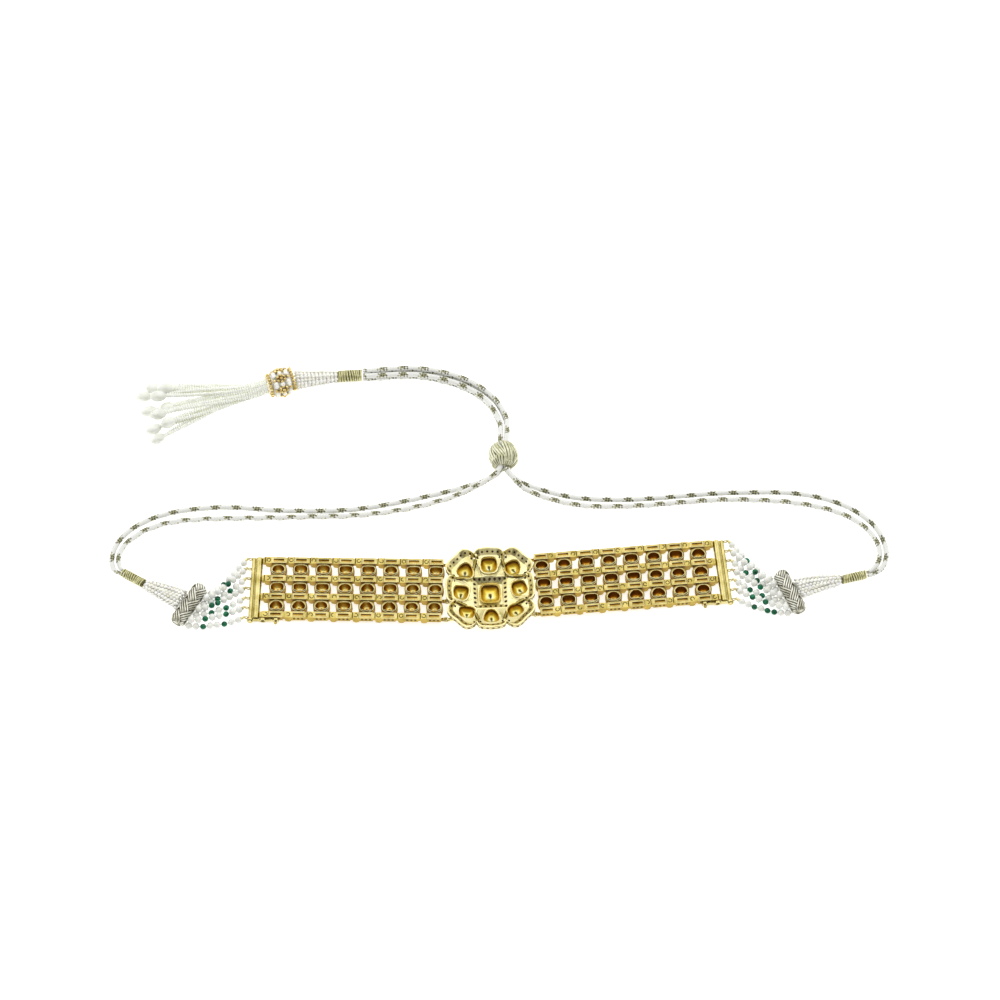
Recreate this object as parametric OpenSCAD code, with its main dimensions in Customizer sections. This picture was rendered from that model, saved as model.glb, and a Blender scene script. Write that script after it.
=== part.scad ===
// Convertible bracelet, lying on its face with its back up.
// Two bands of pierced links run along X from a dished medallion, the cords lie toward +Y,
// and Z = 0 is the surface that it rests on. The origin is under the medallion's centre.

/* [Medallion] */
// Reach of the flower outline from the centre to a side lobe
flower_reach = 16.9; // [16:0.1:17.2]
// Height of the medallion's rim above the surface
rim_z = 8; // [7.6:0.1:8.4]
// Outer side of the square frame round the centre stone
frame_side = 13.8; // [13.4:0.1:14]
// Diameter of the small round holes in the rim and the frame
azure_d = 1.05; // [0.8:0.05:1.1]
// Turn of the medallion about the vertical
medallion_turn = 2.5; // [0:0.5:3]

/* [Bands] */
// Distance from one link to the next
link_pitch = 8.5; // [8.4:0.05:8.6]
// Distance from one rail to the next
rail_pitch = 7.6; // [7.5:0.05:7.7]
// Width of a rail
rail_w = 2.4; // [2.3:0.05:2.4]
// Depth of a link from its back face to its front
link_h = 3.6; // [3.4:0.1:3.8]
// Length of a collet's opening
collet_l = 5.2; // [5:0.1:5.3]
// Width of a collet's opening
collet_w = 3.9; // [3.7:0.1:4]
// Slope of each band from the medallion down to its clasp
band_slope = 2.5; // [2.4:0.1:2.6]

/* [Clasps] */
// Outer radius of the clasp's tube
tube_r = 1.3; // [1.25:0.05:1.35]
// Length of the clasp's tube
tube_l = 25.4; // [25:0.1:25.4]
// Distance from one strand ring to the next
ring_pitch = 4.1; // [4:0.05:4.2]

/* [Strands] */
// Diameter of a pearl
pearl_d = 2.4; // [2.2:0.05:2.4]
// Least distance from one bead to the next on its thread
bead_pitch = 2.52; // [2.5:0.01:2.56]
// Length of a toggle over its round ends
toggle_l = 20; // [19:0.5:21]
// Radius of a toggle
toggle_r = 2.9; // [2.7:0.1:3]

/* [Cords] */
// Diameter of a braided cord
cord_d = 2.1; // [2:0.05:2.1]
// Radius of the sliding ball
ball_r = 5.9; // [5.7:0.1:6]
// Diameter of the ball's bore, which holds the four cords
ball_bore_d = 5.8; // [5.6:0.1:6]

/* [Hidden] */

// Sides of the bands: -1 is the left one, 1 the right one
LEFT = -1;
RIGHT = 1;
links = 8;
band_l = links * link_pitch;
eps = 0.02;
gap = 0.1;
fine = 48;
coarse = 24;

// Outer end of each band on the surface, and its turn about the vertical
left_end = [-85.3, 2.2];
right_end = [84.6, 9.4];
left_turn = 2.1;
right_turn = 6.3;
function band_end(side) = side == LEFT ? left_end : right_end;
function band_turn(side) = side == LEFT ? left_turn : right_turn;

// One eighth of the flower outline, from a side lobe's middle to the corner lobe's middle
flower_eighth = [
    [0, 1], [0.22, 0.98], [0.295, 0.935], [0.335, 0.86],
    [0.39, 0.92], [0.48, 0.97], [0.58, 0.975], [0.68, 0.91], [0.79, 0.79]
];
// Sections of the dish: scale of the flower outline, height
dish_outer = [
    [0.84, 2.6], [0.915, 4.3], [0.985, 5.4], [1, rim_z], [0.965, rim_z], [0.86, rim_z - 2]
];
// Where the dish meets the square frame, above and below
dish_frame_z = [3.4, 1.3];
rim_holes = 60;
rim_hole_scale = 0.913;
// Small holes beside each notch of the outline, and the notch end of each rib
notch_holes = [[0.245, 0.79], [0.385, 0.79]];
notch_hole_d = 0.8;
rib_end = [0.29, 0.74];
frame_strip = 2.3;
frame_lip = 0.4;
frame_bevel_z = 2.2;
frame_base_z = 0.9;
frame_holes_a_side = 6;
ledge_z = 1.5;

// Cups of the medallion: x, y, width, length, squareness, taper, turn, height of the table
cups = [
    [0, 0, 6.9, 7.2, 4, 0.02, 0, 0],
    [0, 10.8, 6, 6.1, 3, -0.05, 0, 1.3],
    [8.9, 9.2, 5.7, 5.9, 2.4, -0.1, 20, 1.3],
    [11, 0.6, 5.6, 6, 3, 0.05, 15, 1.3],
    [9.1, -8.7, 6, 5.2, 2.5, 0.1, 25, 1.3],
    [0, -10.8, 5.5, 5.8, 2.5, 0.3, 0, 1.3],
    [-9.1, -8.8, 6, 5.1, 2.8, -0.15, -10, 1.3],
    [-11, -0.4, 5.6, 5.8, 3, -0.1, -8, 1.3],
    [-9, 8.9, 5.7, 6.2, 2.2, 0.35, -15, 1.3]
];
bezel_t = 0.55;
bezel_start = 0.3;
function cup_table(i) = cups[i][7];
function cup_top(i) = i == 0 ? 2.6 : 4.9;
function culet_h(i) = i == 0 ? 2 : 2.3;

// Lengths in one link, measured from its inner end
box_start = 0.45;
box_l = 5.1;
knuckle_l = 2.5;
knuckle_x = box_start + box_l + knuckle_l / 2;
knuckle_w = 2.6;
rail_base = 0.9;
pin_r = 0.42;
pin_z = 1.25;
eye_r = 0.95;
eye_bore_r = 0.58;
tongue_t = 0.8;
slot_w = 1.1;
slot_l = 4;
slot_depth = 1.9;
collet_x = box_start + box_l / 2;
collet_t = 0.35;
collet_foot = 0.55;
stone_z = 0.15;

// Rails that the jump rings hold, counted from the far side, and the ring's sizes
left_ring_rails = [0, 2, 3];
right_ring_rails = [0, 1, 3];
ring_r = 0.85;
ring_wire = 0.26;
lug_z = 3.8;
lug_r = 0.85;
lug_bore_r = 0.48;
lug_arm_h = 1.2;

// Clasp sizes, measured outward from the band's end
tube_x = 1.9;
clasp_z = 2;
tube_bore_r = 1;
rod_r = 0.85;
bar_x = 4.1;
bar_r = 0.75;
strand_ring_r = 0.75;
strand_ring_wire = 0.22;
strand_ring_x = bar_x + bar_r + strand_ring_r;
strands = 7;

// Catch sizes
post_x = -5.6;
post_r = 0.45;
post_l = 1.9;
post_head_r = 0.62;
catch_y = -13.25;
catch_t = 0.7;
pivot_r = 0.5;

// Toggles: the ends of the line on which the strands arrive
left_toggle_ends = [[-108.7, 2], [-117, -11.8]];
right_toggle_ends = [[108.8, 8.6], [116.3, -7.8]];
strand_cross = 2.6;
strand_low = 1.3;
// Sideways shift of the upper strands, so that all seven are seen evenly spaced
strand_shift = 0.4;
strand_high = 3.3;
strand_out = 4;
// Angle at which the strands leave the rings, from the band's line toward the near side
strand_drop = 55;
strand_in = 3;
thread_r = 0.2;
bead_bore_r = 0.45;
// Distance of the outermost beads from the two ends of a strand
first_bead = 1.3;
last_bead = 1.85;
// Beads that are emeralds, counted from the toggle
emerald_slots = [3, 6];

function toggle_ends(side) = side == LEFT ? left_toggle_ends : right_toggle_ends;

// Whippings: where the cords enter, and where the taper starts
left_whip = [[-138.6, 9.4, 1.7], [-130, 4.4, 1.7]];
right_whip = [[141.8, 8.5, 1.7], [132.2, 6.1, 1.7]];
tassel_whip = [[-49.2, 94.2, 2.4], [-59, 93.5, 2.4]];
side_whip_r = 1.6;
tassel_whip_r = 2.35;
function whip(side) = side == LEFT ? left_whip : right_whip;

// Cord routes, from the side whipping through the ball to the tassel's whipping
left_route_1 = [
    [-139.3, 8.9, 1.5], [-141.4, 10.2, 1.1], [-142.7, 14, 1.1], [-141.6, 20.4, 1.1],
    [-136.1, 27.6, 1.1], [-124, 34, 1.1], [-103.5, 37.2, 1.1], [-76.4, 35.8, 1.1],
    [-50, 36.6, 1.1], [-18.4, 43.4, 1.1], [-8, 46.4, 1.4], [-1.6, 47.9, 3.2],
    [2.3, 49.6, 4.5], [3.9, 52, 4.8], [3.9, 63, 4.8], [3.9, 69, 3],
    [3.3, 74, 1.2], [-1, 82.3, 1.1], [-10.4, 89.2, 1.1], [-27, 94, 1.1],
    [-48.9, 93.1, 1.4]
];
left_route_2 = [
    [-138.5, 10.3, 1.5], [-139.5, 11.7, 1.1], [-140.2, 14.6, 1.1], [-139, 19.6, 1.1],
    [-133, 25.8, 1.1], [-121, 30.8, 1.1], [-76, 33, 1.1], [-50, 33.9, 1.1],
    [-31.9, 36.6, 1.1], [-14, 41.6, 1.6], [-7.2, 43.9, 3.7], [-1.2, 46.6, 5.7],
    [2.4, 49.3, 6.8], [3.9, 52, 7], [3.9, 63, 7], [3.9, 69, 5.2],
    [3.3, 74, 3.4], [-1.2, 82, 3.3], [-10.6, 89, 3.3], [-27, 93.7, 3.3],
    [-48.9, 93.1, 3.6]
];
right_route_1 = [
    [142.3, 7.9, 1.5], [145.2, 9.2, 1.1], [148.8, 13.4, 1.1], [149.4, 20, 1.1],
    [145.7, 29, 1.1], [136, 37.2, 1.1], [119, 42.8, 1.1], [91, 43.5, 1.1],
    [52.2, 40.6, 1.1], [32.8, 41.4, 1.1], [20, 44.6, 1.2], [12, 47, 2.9],
    [7.8, 49.6, 4.5], [6.1, 52, 4.8], [6.1, 63, 4.8], [6.4, 69, 3],
    [6, 75, 1.2], [1.4, 84, 1.1], [-9.4, 92, 1.1], [-27, 96.8, 1.1],
    [-48.9, 95.3, 1.4]
];
right_route_2 = [
    [142, 9.3, 1.5], [144.1, 10.9, 1.1], [146.6, 14.6, 1.1], [146.6, 21, 1.1],
    [142.2, 28.4, 1.1], [133, 34.6, 1.1], [117, 39, 1.1], [91, 40.6, 1.1],
    [52.2, 37.8, 1.1], [34, 38.2, 1.1], [20, 41.6, 1.6], [12.8, 44, 4],
    [8.4, 47.6, 6.4], [6.1, 52, 7], [6.1, 63, 7], [6.4, 69, 5.2],
    [6, 75, 3.4], [1.2, 83.8, 3.3], [-9.6, 91.8, 3.3], [-27, 96.5, 3.3],
    [-48.9, 95.3, 3.6]
];
cord_sides = 8;
cord_end_r = 0.7;
cord_bend_r = 0.9;

ball_at = [5, 57.1, ball_r];
cap_ends = [[-75.6, 90.8, 5.6], [-85.2, 87.6, 5.6]];
cap_r = [4.3, 5.1, 5.5, 5.1, 4.3];

// Tassel locks: where the drop pearl lies, x, y, height
drops = [
    [-128, 88, 2.2], [-133, 85, 3.2], [-128.6, 82.8, 5.4], [-130.6, 77.8, 2],
    [-127.6, 75, 5], [-128.6, 70, 2], [-123.4, 71.4, 4.6], [-127, 66.2, 2],
    [-121.5, 83.5, 6.2], [-122, 78, 2.4]
];
drop_r = 1.75;
lock_r = 1.5;

// Points of a closed superellipse: width, length, squareness, taper, number of points
function power(v, e) = (v < 0 ? -1 : 1) * pow(abs(v), e);
function oval(w, l, square = 2, taper = 0, n = 16) = [
    for (i = [0:n - 1])
        let (a = 360 * i / n, y = power(sin(a), 2 / square) / 2)
            [w * power(cos(a), 2 / square) / 2 * (1 - 2 * taper * y), l * y]
];

// The whole flower outline, anticlockwise from its far lobe
function reversed(p) = [for (i = [len(p) - 1:-1:0]) p[i]];
quarter = concat(
    flower_eighth, [for (i = [len(flower_eighth) - 2:-1:1]) [flower_eighth[i].y, flower_eighth[i].x]]
);
function turned(p, a) = [p.x * cos(a) - p.y * sin(a), p.x * sin(a) + p.y * cos(a)];
flower = reversed([for (q = [0:3]) for (p = quarter) turned(p, -90 * q) * flower_reach]);

// Points at equal steps along a line of points
function lengths(p) = [
    for (i = 0, s = 0; i < len(p); s = s + (i < len(p) - 1 ? norm(p[i + 1] - p[i]) : 0), i = i + 1) s
];
function point_at(p, sums, d) =
    let (i = min(len(p) - 2, max([for (k = [0:len(p) - 1]) if (sums[k] <= d) k])))
        p[i] + (p[i + 1] - p[i]) * (d - sums[i]) / (sums[i + 1] - sums[i]);

// Shell through rings with equal numbers of points
function wall_faces(n, from, to) = [
    for (j = [0:n - 1]) [from * n + j, to * n + j, to * n + (j + 1) % n, from * n + (j + 1) % n]
];
function walls(n, m) = [for (i = [0:m - 2]) each wall_faces(n, i, i + 1)];
module loft(rings) {
    n = len(rings[0]);
    m = len(rings);
    caps = [[for (j = [0:n - 1]) j], [for (j = [n - 1:-1:0]) (m - 1) * n + j]];
    polyhedron([for (r = rings) each r], concat(walls(n, m), caps), convexity = 6);
}
module closed_loft(rings) {
    n = len(rings[0]);
    m = len(rings);
    polyhedron([for (r = rings) each r], concat(walls(n, m), wall_faces(n, m - 1, 0)), convexity = 8);
}
function at_height(outline, z) = [for (p = outline) [p.x, p.y, z]];

// Tube swept along a line of points, with a half width and a half height at each
function unit(v) = v / norm(v);
function heading(p, i) = unit(p[min(i + 1, len(p) - 1)] - p[max(i - 1, 0)]);
module swept(path, half_w, half_h, n = 8) {
    loft([
        for (i = [0:len(path) - 1])
            let (t = heading(path, i), s = unit(cross([0, 0, 1], t)), u = cross(t, s)) [
                for (j = [0:n - 1])
                    path[i] + s * half_w[i] * cos(360 * j / n) + u * half_h[i] * sin(360 * j / n)
            ]
    ]);
}

// Places its children on the line between two points, with Z along it from the first
module along(a, b) {
    d = b - a;
    translate(a)
        rotate([0, acos(d.z / norm(d)), atan2(d.y, d.x)])
            children();
}

// Frame of a band: X outward from its outer end, Y away, Z up
module band_frame(side) {
    end = band_end(side);
    translate([end.x, end.y, 0])
        rotate([0, 0, side * band_turn(side)])
            mirror([side == LEFT ? 1 : 0, 0, 0])
                rotate([0, band_slope, 0])
                    children();
}
function from_band(side, p) =
    let (
        end = band_end(side),
        x = p.x * cos(band_slope) + p.z * sin(band_slope),
        z = p.z * cos(band_slope) - p.x * sin(band_slope),
        q = turned([side * x, p.y], side * band_turn(side))
    ) [end.x + q.x, end.y + q.y, z];

function rail_y(row) = (1.5 - row) * rail_pitch;

// Stone with a table below, a girdle and a pavilion above, foiled from behind
module cut_stone(outline, table, girdle, culet) {
    loft([
        at_height(0.62 * outline, table),
        at_height(outline, girdle - 0.12),
        at_height(outline, girdle + 0.12),
        at_height(0.5 * outline, (girdle + 2 * culet) / 3),
        at_height(0.08 * outline, culet)
    ]);
}

module place_cup(i) {
    translate([cups[i][0], cups[i][1], 0])
        rotate([0, 0, cups[i][6]])
            children();
}
function cup_outline(i, grow, n = 16) =
    oval(cups[i][2] + 2 * grow, cups[i][3] + 2 * grow, cups[i][4], cups[i][5], n);

// Rib from a corner of the frame to a notch of the outline
module rib(to) {
    corner = frame_side / 2 - 0.3;
    swept([[corner, corner, dish_frame_z[0] - 0.1], [to.x, to.y, rim_z - 1.9]],
        [0.32, 0.32], [0.45, 0.45], 4);
}

module medallion_body() {
    half = frame_side / 2;
    square_ring = [for (p = flower) p * half / max(abs(p.x), abs(p.y))];
    closed_loft(concat(
        [for (s = dish_outer) at_height(flower * s[0], s[1])],
        [for (z = dish_frame_z) at_height(square_ring, z)]
    ));
    translate([-half, -half, frame_base_z])
        cube([frame_side, frame_side, dish_frame_z[0] - frame_base_z]);
    for (q = [0:3])
        rotate([0, 0, 90 * q]) {
            rib(rib_end * flower_reach);
            rib([rib_end.y, rib_end.x] * flower_reach);
        }
    for (i = [0:len(cups) - 1])
        place_cup(i)
            translate([0, 0, cup_table(i) + bezel_start])
                linear_extrude(cup_top(i) - cup_table(i) - bezel_start)
                    polygon(cup_outline(i, gap + bezel_t));
}

function square_at(half, z) = [[half, half, z], [-half, half, z], [-half, -half, z], [half, -half, z]];

module medallion_cuts() {
    loop = concat(flower, [flower[0]]) * rim_hole_scale;
    sums = lengths(loop);
    step = sums[len(sums) - 1] / rim_holes;
    for (k = [0:rim_holes - 1]) {
        p = point_at(loop, sums, (k + 0.5) * step);
        translate([p.x, p.y, 1])
            cylinder(d = azure_d, h = rim_z, $fn = coarse);
    }
    for (q = [0:3])
        rotate([0, 0, 90 * q])
            for (p = notch_holes)
                for (at = [p, [p.y, p.x]])
                    translate([at.x, at.y, 0] * flower_reach)
                        cylinder(d = notch_hole_d, h = rim_z, $fn = coarse);
    lane = (frame_side - frame_strip) / 2;
    frame_step = 2 * lane / frame_holes_a_side;
    for (q = [0:3])
        rotate([0, 0, 90 * q])
            for (k = [0:frame_holes_a_side - 1])
                translate([-lane + k * frame_step, lane, 0])
                    cylinder(d = azure_d, h = rim_z, $fn = coarse);
    inner = frame_side - 2 * frame_strip;
    translate([-inner / 2, -inner / 2, ledge_z])
        cube([inner, inner, rim_z]);
    outer = frame_side / 2 - frame_lip;
    loft([
        square_at(inner / 2, frame_bevel_z),
        square_at(outer, dish_frame_z[0]),
        square_at(outer, dish_frame_z[0] + 1)
    ]);
    for (i = [0:len(cups) - 1])
        place_cup(i)
            translate([0, 0, -1])
                linear_extrude(rim_z + 2)
                    polygon(cup_outline(i, gap));
}

// Far ends of the jump rings, where the medallion's lugs stand
function ring_rails(side) = side == LEFT ? left_ring_rails : right_ring_rails;
function link_lug(side, row) =
    let (p = from_band(side, [box_start - eye_r - band_l, rail_y(row), 0])) [p.x, p.y, lug_z];
function medallion_lug(side, row) = link_lug(side, row) - [side * 2 * ring_r, 0, 0];

module medallion() {
    color("gold") {
        rotate([0, 0, medallion_turn])
            difference() {
                medallion_body();
                medallion_cuts();
            }
        for (side = [LEFT, RIGHT])
            for (row = ring_rails(side))
                translate(medallion_lug(side, row))
                    ring_lug(-side * (row == 0 || row == 3 ? 2.6 : 1.6));
    }
}
// Flat lug with a bore along Y, and an arm that runs from it along X
module ring_lug(reach) {
    difference() {
        union() {
            rotate([90, 0, 0])
                cylinder(r = lug_r, h = tongue_t, center = true, $fn = coarse);
            translate([min(reach, 0), -tongue_t / 2, -lug_arm_h / 2])
                cube([abs(reach), tongue_t, lug_arm_h]);
        }
        rotate([90, 0, 0])
            cylinder(r = lug_bore_r, h = 2, center = true, $fn = coarse);
    }
}

module medallion_stone(i) {
    table = cup_table(i);
    color("lemonchiffon")
        rotate([0, 0, medallion_turn])
            place_cup(i)
                cut_stone(cup_outline(i, 0, 12), table, table + 0.9, table + culet_h(i));
}

module jump_rings(side) {
    color("gold")
        for (row = ring_rails(side))
            translate((medallion_lug(side, row) + link_lug(side, row)) / 2)
                rotate_extrude($fn = coarse)
                    translate([ring_r, 0])
                        circle(r = ring_wire, $fn = 16);
}

module rail_unit(tongue) {
    translate([box_start, -rail_w / 2, rail_base])
        cube([box_l + eps, rail_w, link_h - rail_base]);
    translate([knuckle_x - knuckle_l / 2, -knuckle_w / 2, pin_z])
        cube([knuckle_l, knuckle_w, link_h - pin_z]);
    translate([knuckle_x, 0, pin_z])
        rotate([90, 0, 0])
            cylinder(r = knuckle_l / 2, h = knuckle_w, center = true, $fn = fine);
    if (tongue)
        tongue_to(box_start + 1);
}
// Eye on the pin of the link before, and an arm from it to a place along X
module tongue_to(x) {
    translate([knuckle_x - link_pitch, 0, pin_z])
        rotate([90, 0, 0])
            cylinder(r = eye_r, h = tongue_t, center = true, $fn = fine);
    translate([knuckle_x - link_pitch, -tongue_t / 2, pin_z - 0.1])
        cube([x - knuckle_x + link_pitch, tongue_t, 1]);
}
module rail_cuts(tongue) {
    translate([box_start + (box_l - slot_l) / 2, -slot_w / 2, link_h - slot_depth])
        cube([slot_l, slot_w, slot_depth + 1]);
    translate([knuckle_x - eye_r - 0.1, -tongue_t / 2 - gap, -1])
        cube([knuckle_l + 1, tongue_t + 2 * gap, pin_z + eye_r + 1.15]);
    if (tongue)
        translate([knuckle_x - link_pitch, 0, pin_z])
            rotate([90, 0, 0])
                cylinder(r = eye_bore_r, h = 2, center = true, $fn = fine);
}
module hinge_pin() {
    translate([knuckle_x, 0, pin_z])
        rotate([90, 0, 0])
            cylinder(r = pin_r, h = knuckle_w - 0.2, center = true, $fn = coarse);
}

// Collet with a wider foot, and the strut that ties it to the rails beside it
module collet() {
    space = rail_pitch - rail_w;
    linear_extrude(1)
        polygon(oval(collet_l + 2 * collet_foot, space + 0.1, 3));
    linear_extrude(link_h - rail_base)
        polygon(oval(collet_l + 2 * collet_t, collet_w + 2 * collet_t, 2.6));
    translate([-0.5, -space / 2 - 0.1, 0])
        cube([1, space + 0.2, 1.9]);
}

// One link in its band's frame, counted from the medallion
module link_body(side, k) {
    start = -band_l + (k - 1) * link_pitch;
    translate([start, 0, 0])
        difference() {
            union() {
                for (row = [0:3])
                    translate([0, rail_y(row), 0])
                        rail_unit(k > 1);
                for (row = [0:2])
                    translate([collet_x, rail_y(row + 0.5), rail_base - 0.3])
                        collet();
                if (k == 1)
                    for (row = ring_rails(side))
                        translate([box_start - eye_r, rail_y(row), first_lug_z(side)])
                            ring_lug(eye_r + 0.3);
            }
            for (row = [0:3])
                translate([0, rail_y(row), 0])
                    rail_cuts(k > 1);
            for (row = [0:2])
                translate([collet_x, rail_y(row + 0.5), 0])
                    linear_extrude(link_h + 1)
                        polygon(oval(collet_l, collet_w, 2.6));
        }
    translate([start, 0, 0]) {
        for (row = [0:3])
            translate([0, rail_y(row), 0])
                hinge_pin();
        if (k == links)
            translate([0, rail_y(3) - rail_w / 2, 0])
                catch_post();
    }
}
function first_lug_z(side) = lug_z - from_band(side, [box_start - eye_r - band_l, 0, 0]).z;
// Post on the side of the last link, with a round head outside the lever
module catch_post() {
    translate([link_pitch + post_x, 0.2, clasp_z])
        rotate([90, 0, 0])
            cylinder(r = post_r, h = post_l, $fn = coarse);
    translate([link_pitch + post_x, 0.15 - post_l, clasp_z])
        sphere(r = post_head_r, $fn = coarse);
}
module link(side, k) {
    color("gold")
        band_frame(side)
            link_body(side, k);
}

module band_stones(side) {
    color("lemonchiffon")
        band_frame(side)
            for (k = [1:links])
                for (row = [0:2])
                    translate([-band_l + (k - 1) * link_pitch + collet_x, rail_y(row + 0.5), 0])
                        cut_stone(oval(collet_l - 2 * gap, collet_w - 2 * gap, 2.2, 0, 8),
                            stone_z, stone_z + 0.9, stone_z + 2.2);
}

// Tube half of the clasp, with the eyes that sit on the last link's pins
module clasp_tube(side) {
    color("gold")
        band_frame(side)
            difference() {
                union() {
                    translate([tube_x, 0, clasp_z])
                        rotate([90, 0, 0])
                            cylinder(r = tube_r, h = tube_l, center = true, $fn = fine);
                    for (row = [0:3])
                        translate([0, rail_y(row), 0])
                            tongue_to(tube_x - tube_bore_r - 0.1);
                }
                translate([tube_x, 0, clasp_z])
                    rotate([90, 0, 0])
                        cylinder(r = tube_bore_r, h = tube_l + 1, center = true, $fn = fine);
                translate([tube_x, -tube_l / 2 - 1, clasp_z - 0.35])
                    cube([tube_r + 1, tube_l + 2, 0.7]);
                for (row = [0:3])
                    translate([knuckle_x - link_pitch, rail_y(row), pin_z])
                        rotate([90, 0, 0])
                            cylinder(r = eye_bore_r, h = 2, center = true, $fn = fine);
            }
}

// Slide half of the clasp: a rod in the tube, a web, and a bar that carries the strand rings
function strand_y(i) = (3 - i) * ring_pitch;
module clasp_bar(side) {
    color("gold")
        band_frame(side)
            translate([0, 0, clasp_z]) {
                translate([tube_x, 0, 0])
                    rotate([90, 0, 0])
                        cylinder(r = rod_r, h = tube_l, center = true, $fn = fine);
                translate([bar_x, 0, 0])
                    rotate([90, 0, 0])
                        cylinder(r = bar_r, h = tube_l, center = true, $fn = fine);
                translate([tube_x, -tube_l / 2, -0.22])
                    cube([bar_x - tube_x, tube_l, 0.44]);
                for (i = [0:strands - 1])
                    translate([strand_ring_x - 0.1, strand_y(i), 0])
                        rotate([90, 0, 0])
                            rotate_extrude($fn = coarse)
                                translate([strand_ring_r, 0])
                                    circle(r = strand_ring_wire, $fn = 16);
                translate([bar_x, -tube_l / 2 + 0.2, 0])
                    rotate([90, 0, 0])
                        cylinder(r = pivot_r, h = 1.5, $fn = fine);
                translate([bar_x, -tube_l / 2 - 1.1, 0])
                    rotate([90, 0, 0])
                        cylinder(r = 0.9, h = 0.35, $fn = fine);
            }
}

// Safety lever: an eye on the pivot, a waist, and a hook that snaps over the post
module safety_catch(side) {
    hook_x = post_x;
    loop_x = (bar_x + hook_x) / 2;
    color("gold")
        band_frame(side)
            translate([0, catch_y, clasp_z])
                rotate([90, 0, 0])
                    linear_extrude(catch_t, center = true)
                        difference() {
                            union() {
                                translate([bar_x, 0])
                                    circle(r = 1.25, $fn = fine);
                                translate([hook_x, 0])
                                    circle(r = 1.25, $fn = fine);
                                translate([loop_x, 0])
                                    circle(r = 1.35, $fn = fine);
                                translate([hook_x + 0.9, -0.5])
                                    square([bar_x - hook_x - 1.8, 1]);
                            }
                            translate([bar_x, 0])
                                circle(r = pivot_r + 0.12, $fn = fine);
                            translate([loop_x, 0])
                                circle(r = 0.7, $fn = fine);
                            translate([hook_x, 0])
                                circle(r = post_r + 0.17, $fn = fine);
                            translate([hook_x - post_r - 0.17, -2])
                                square([2 * post_r + 0.34, 2]);
                        }
}

// Strand curves from the rings to the toggle
function bezier(a, b, c, d, n = 24) = [
    for (i = [0:n])
        let (t = i / n)
            (1 - t) ^ 3 * a + 3 * (1 - t) ^ 2 * t * b + 3 * (1 - t) * t ^ 2 * c + t ^ 3 * d
];
function strand_curve(side, i) =
    let (
        level = i % 2 == 1 ? strand_high : strand_low,
        ends = toggle_ends(side),
        mid = (ends[0] + ends[1]) / 2,
        d = unit(ends[1] - ends[0]),
        n = [-side * abs(d.y), -abs(d.x)],
        start = from_band(side, [strand_ring_x + 0.85, strand_y(i) + 0.55, clasp_z]),
        out = turned([side * cos(strand_drop), -sin(strand_drop)], side * band_turn(side)),
        across = (i - 3) * strand_cross + (i % 2 == 1 ? strand_shift : -strand_shift),
        arrive = mid + d * across + n * (toggle_r + 0.1),
        leave = [start.x, start.y] + out * strand_out,
        come = arrive + n * strand_in
    ) bezier(
        start, [leave.x, leave.y, level], [come.x, come.y, level], [arrive.x, arrive.y, level]
    );
// Bead places on a strand, counted from the toggle: place, heading
function bead_places(side, i) =
    let (
        curve = strand_curve(side, i),
        sums = lengths(curve),
        total = sums[len(sums) - 1],
        n = floor((total - first_bead - last_bead) / bead_pitch),
        step = (total - first_bead - last_bead) / n
    ) [
        for (k = [0:n])
            let (d = total - first_bead - k * step)
                [point_at(curve, sums, d), point_at(curve, sums, d + 0.3) - point_at(curve, sums, d - 0.3)]
    ];
function is_emerald(k) = len(search(k, emerald_slots)) > 0;
module beads(side, green) {
    for (i = [0:strands - 1]) {
        places = bead_places(side, i);
        for (k = [0:len(places) - 1])
            if (is_emerald(k) == green)
                along(places[k][0], places[k][0] + places[k][1])
                    difference() {
                        sphere(d = pearl_d, $fn = coarse);
                        cylinder(r = bead_bore_r, h = 2 * pearl_d, center = true, $fn = 16);
                    }
    }
}
module pearls(side) {
    color("ivory")
        beads(side, false);
}
module emeralds(side) {
    color("seagreen")
        beads(side, true);
}
module threads(side) {
    color("white")
        for (i = [0:strands - 1]) {
            curve = strand_curve(side, i);
            hooked = from_band(side, [strand_ring_x - 0.1, strand_y(i) + 0.05, clasp_z]);
            bend = from_band(side, [strand_ring_x, strand_y(i) + 0.5, clasp_z]);
            path = concat([hooked, bend], [for (j = [0:2:len(curve) - 1]) curve[j]]);
            half = [for (p = path) thread_r];
            swept(path, half, half, 5);
        }
}

// Bar wound with wire that gathers the strands
module toggle(side) {
    ends = toggle_ends(side);
    mid = (ends[0] + ends[1]) / 2;
    d = unit(ends[1] - ends[0]);
    straight = toggle_l - 2 * toggle_r;
    a = mid - d * straight / 2;
    b = mid + d * straight / 2;
    outline = concat(
        [for (t = [0:12]) toggle_r * [sin(90 * t / 12), -cos(90 * t / 12)]],
        [for (t = [0:12]) [0, straight] + toggle_r * [cos(90 * t / 12), sin(90 * t / 12)]]
    );
    color("silver")
        along([a.x, a.y, toggle_r], [b.x, b.y, toggle_r])
            rotate_extrude($fn = fine)
                polygon(outline);
}

// Fan of seed-bead strands between a toggle and its whipping
module taper(side) {
    ends = toggle_ends(side);
    d = unit(ends[1] - ends[0]);
    n = [side * abs(d.y), abs(d.x)];
    mid = (ends[0] + ends[1]) / 2;
    wide = mid + n * (toggle_r + 0.4);
    knee = mid + n * 9;
    from = whip(side)[1];
    narrow = from + 0.15 * unit(from - whip(side)[0]);
    path = [for (t = [0, 0.33, 0.66, 1])
        (1 - t) ^ 2 * narrow + 2 * t * (1 - t) * [knee.x, knee.y, 2.4] + t ^ 2 * [wide.x, wide.y, 2.9]];
    color("ivory")
        swept(path, [1.65, 2.5, 3.4, 4.1], [1.6, 2, 2.5, 2.7], 16);
}

module whipping(ends, r) {
    color("tan")
        along(ends[0], ends[1])
            cylinder(r = r, h = norm(ends[1] - ends[0]), $fn = fine);
}

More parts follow.
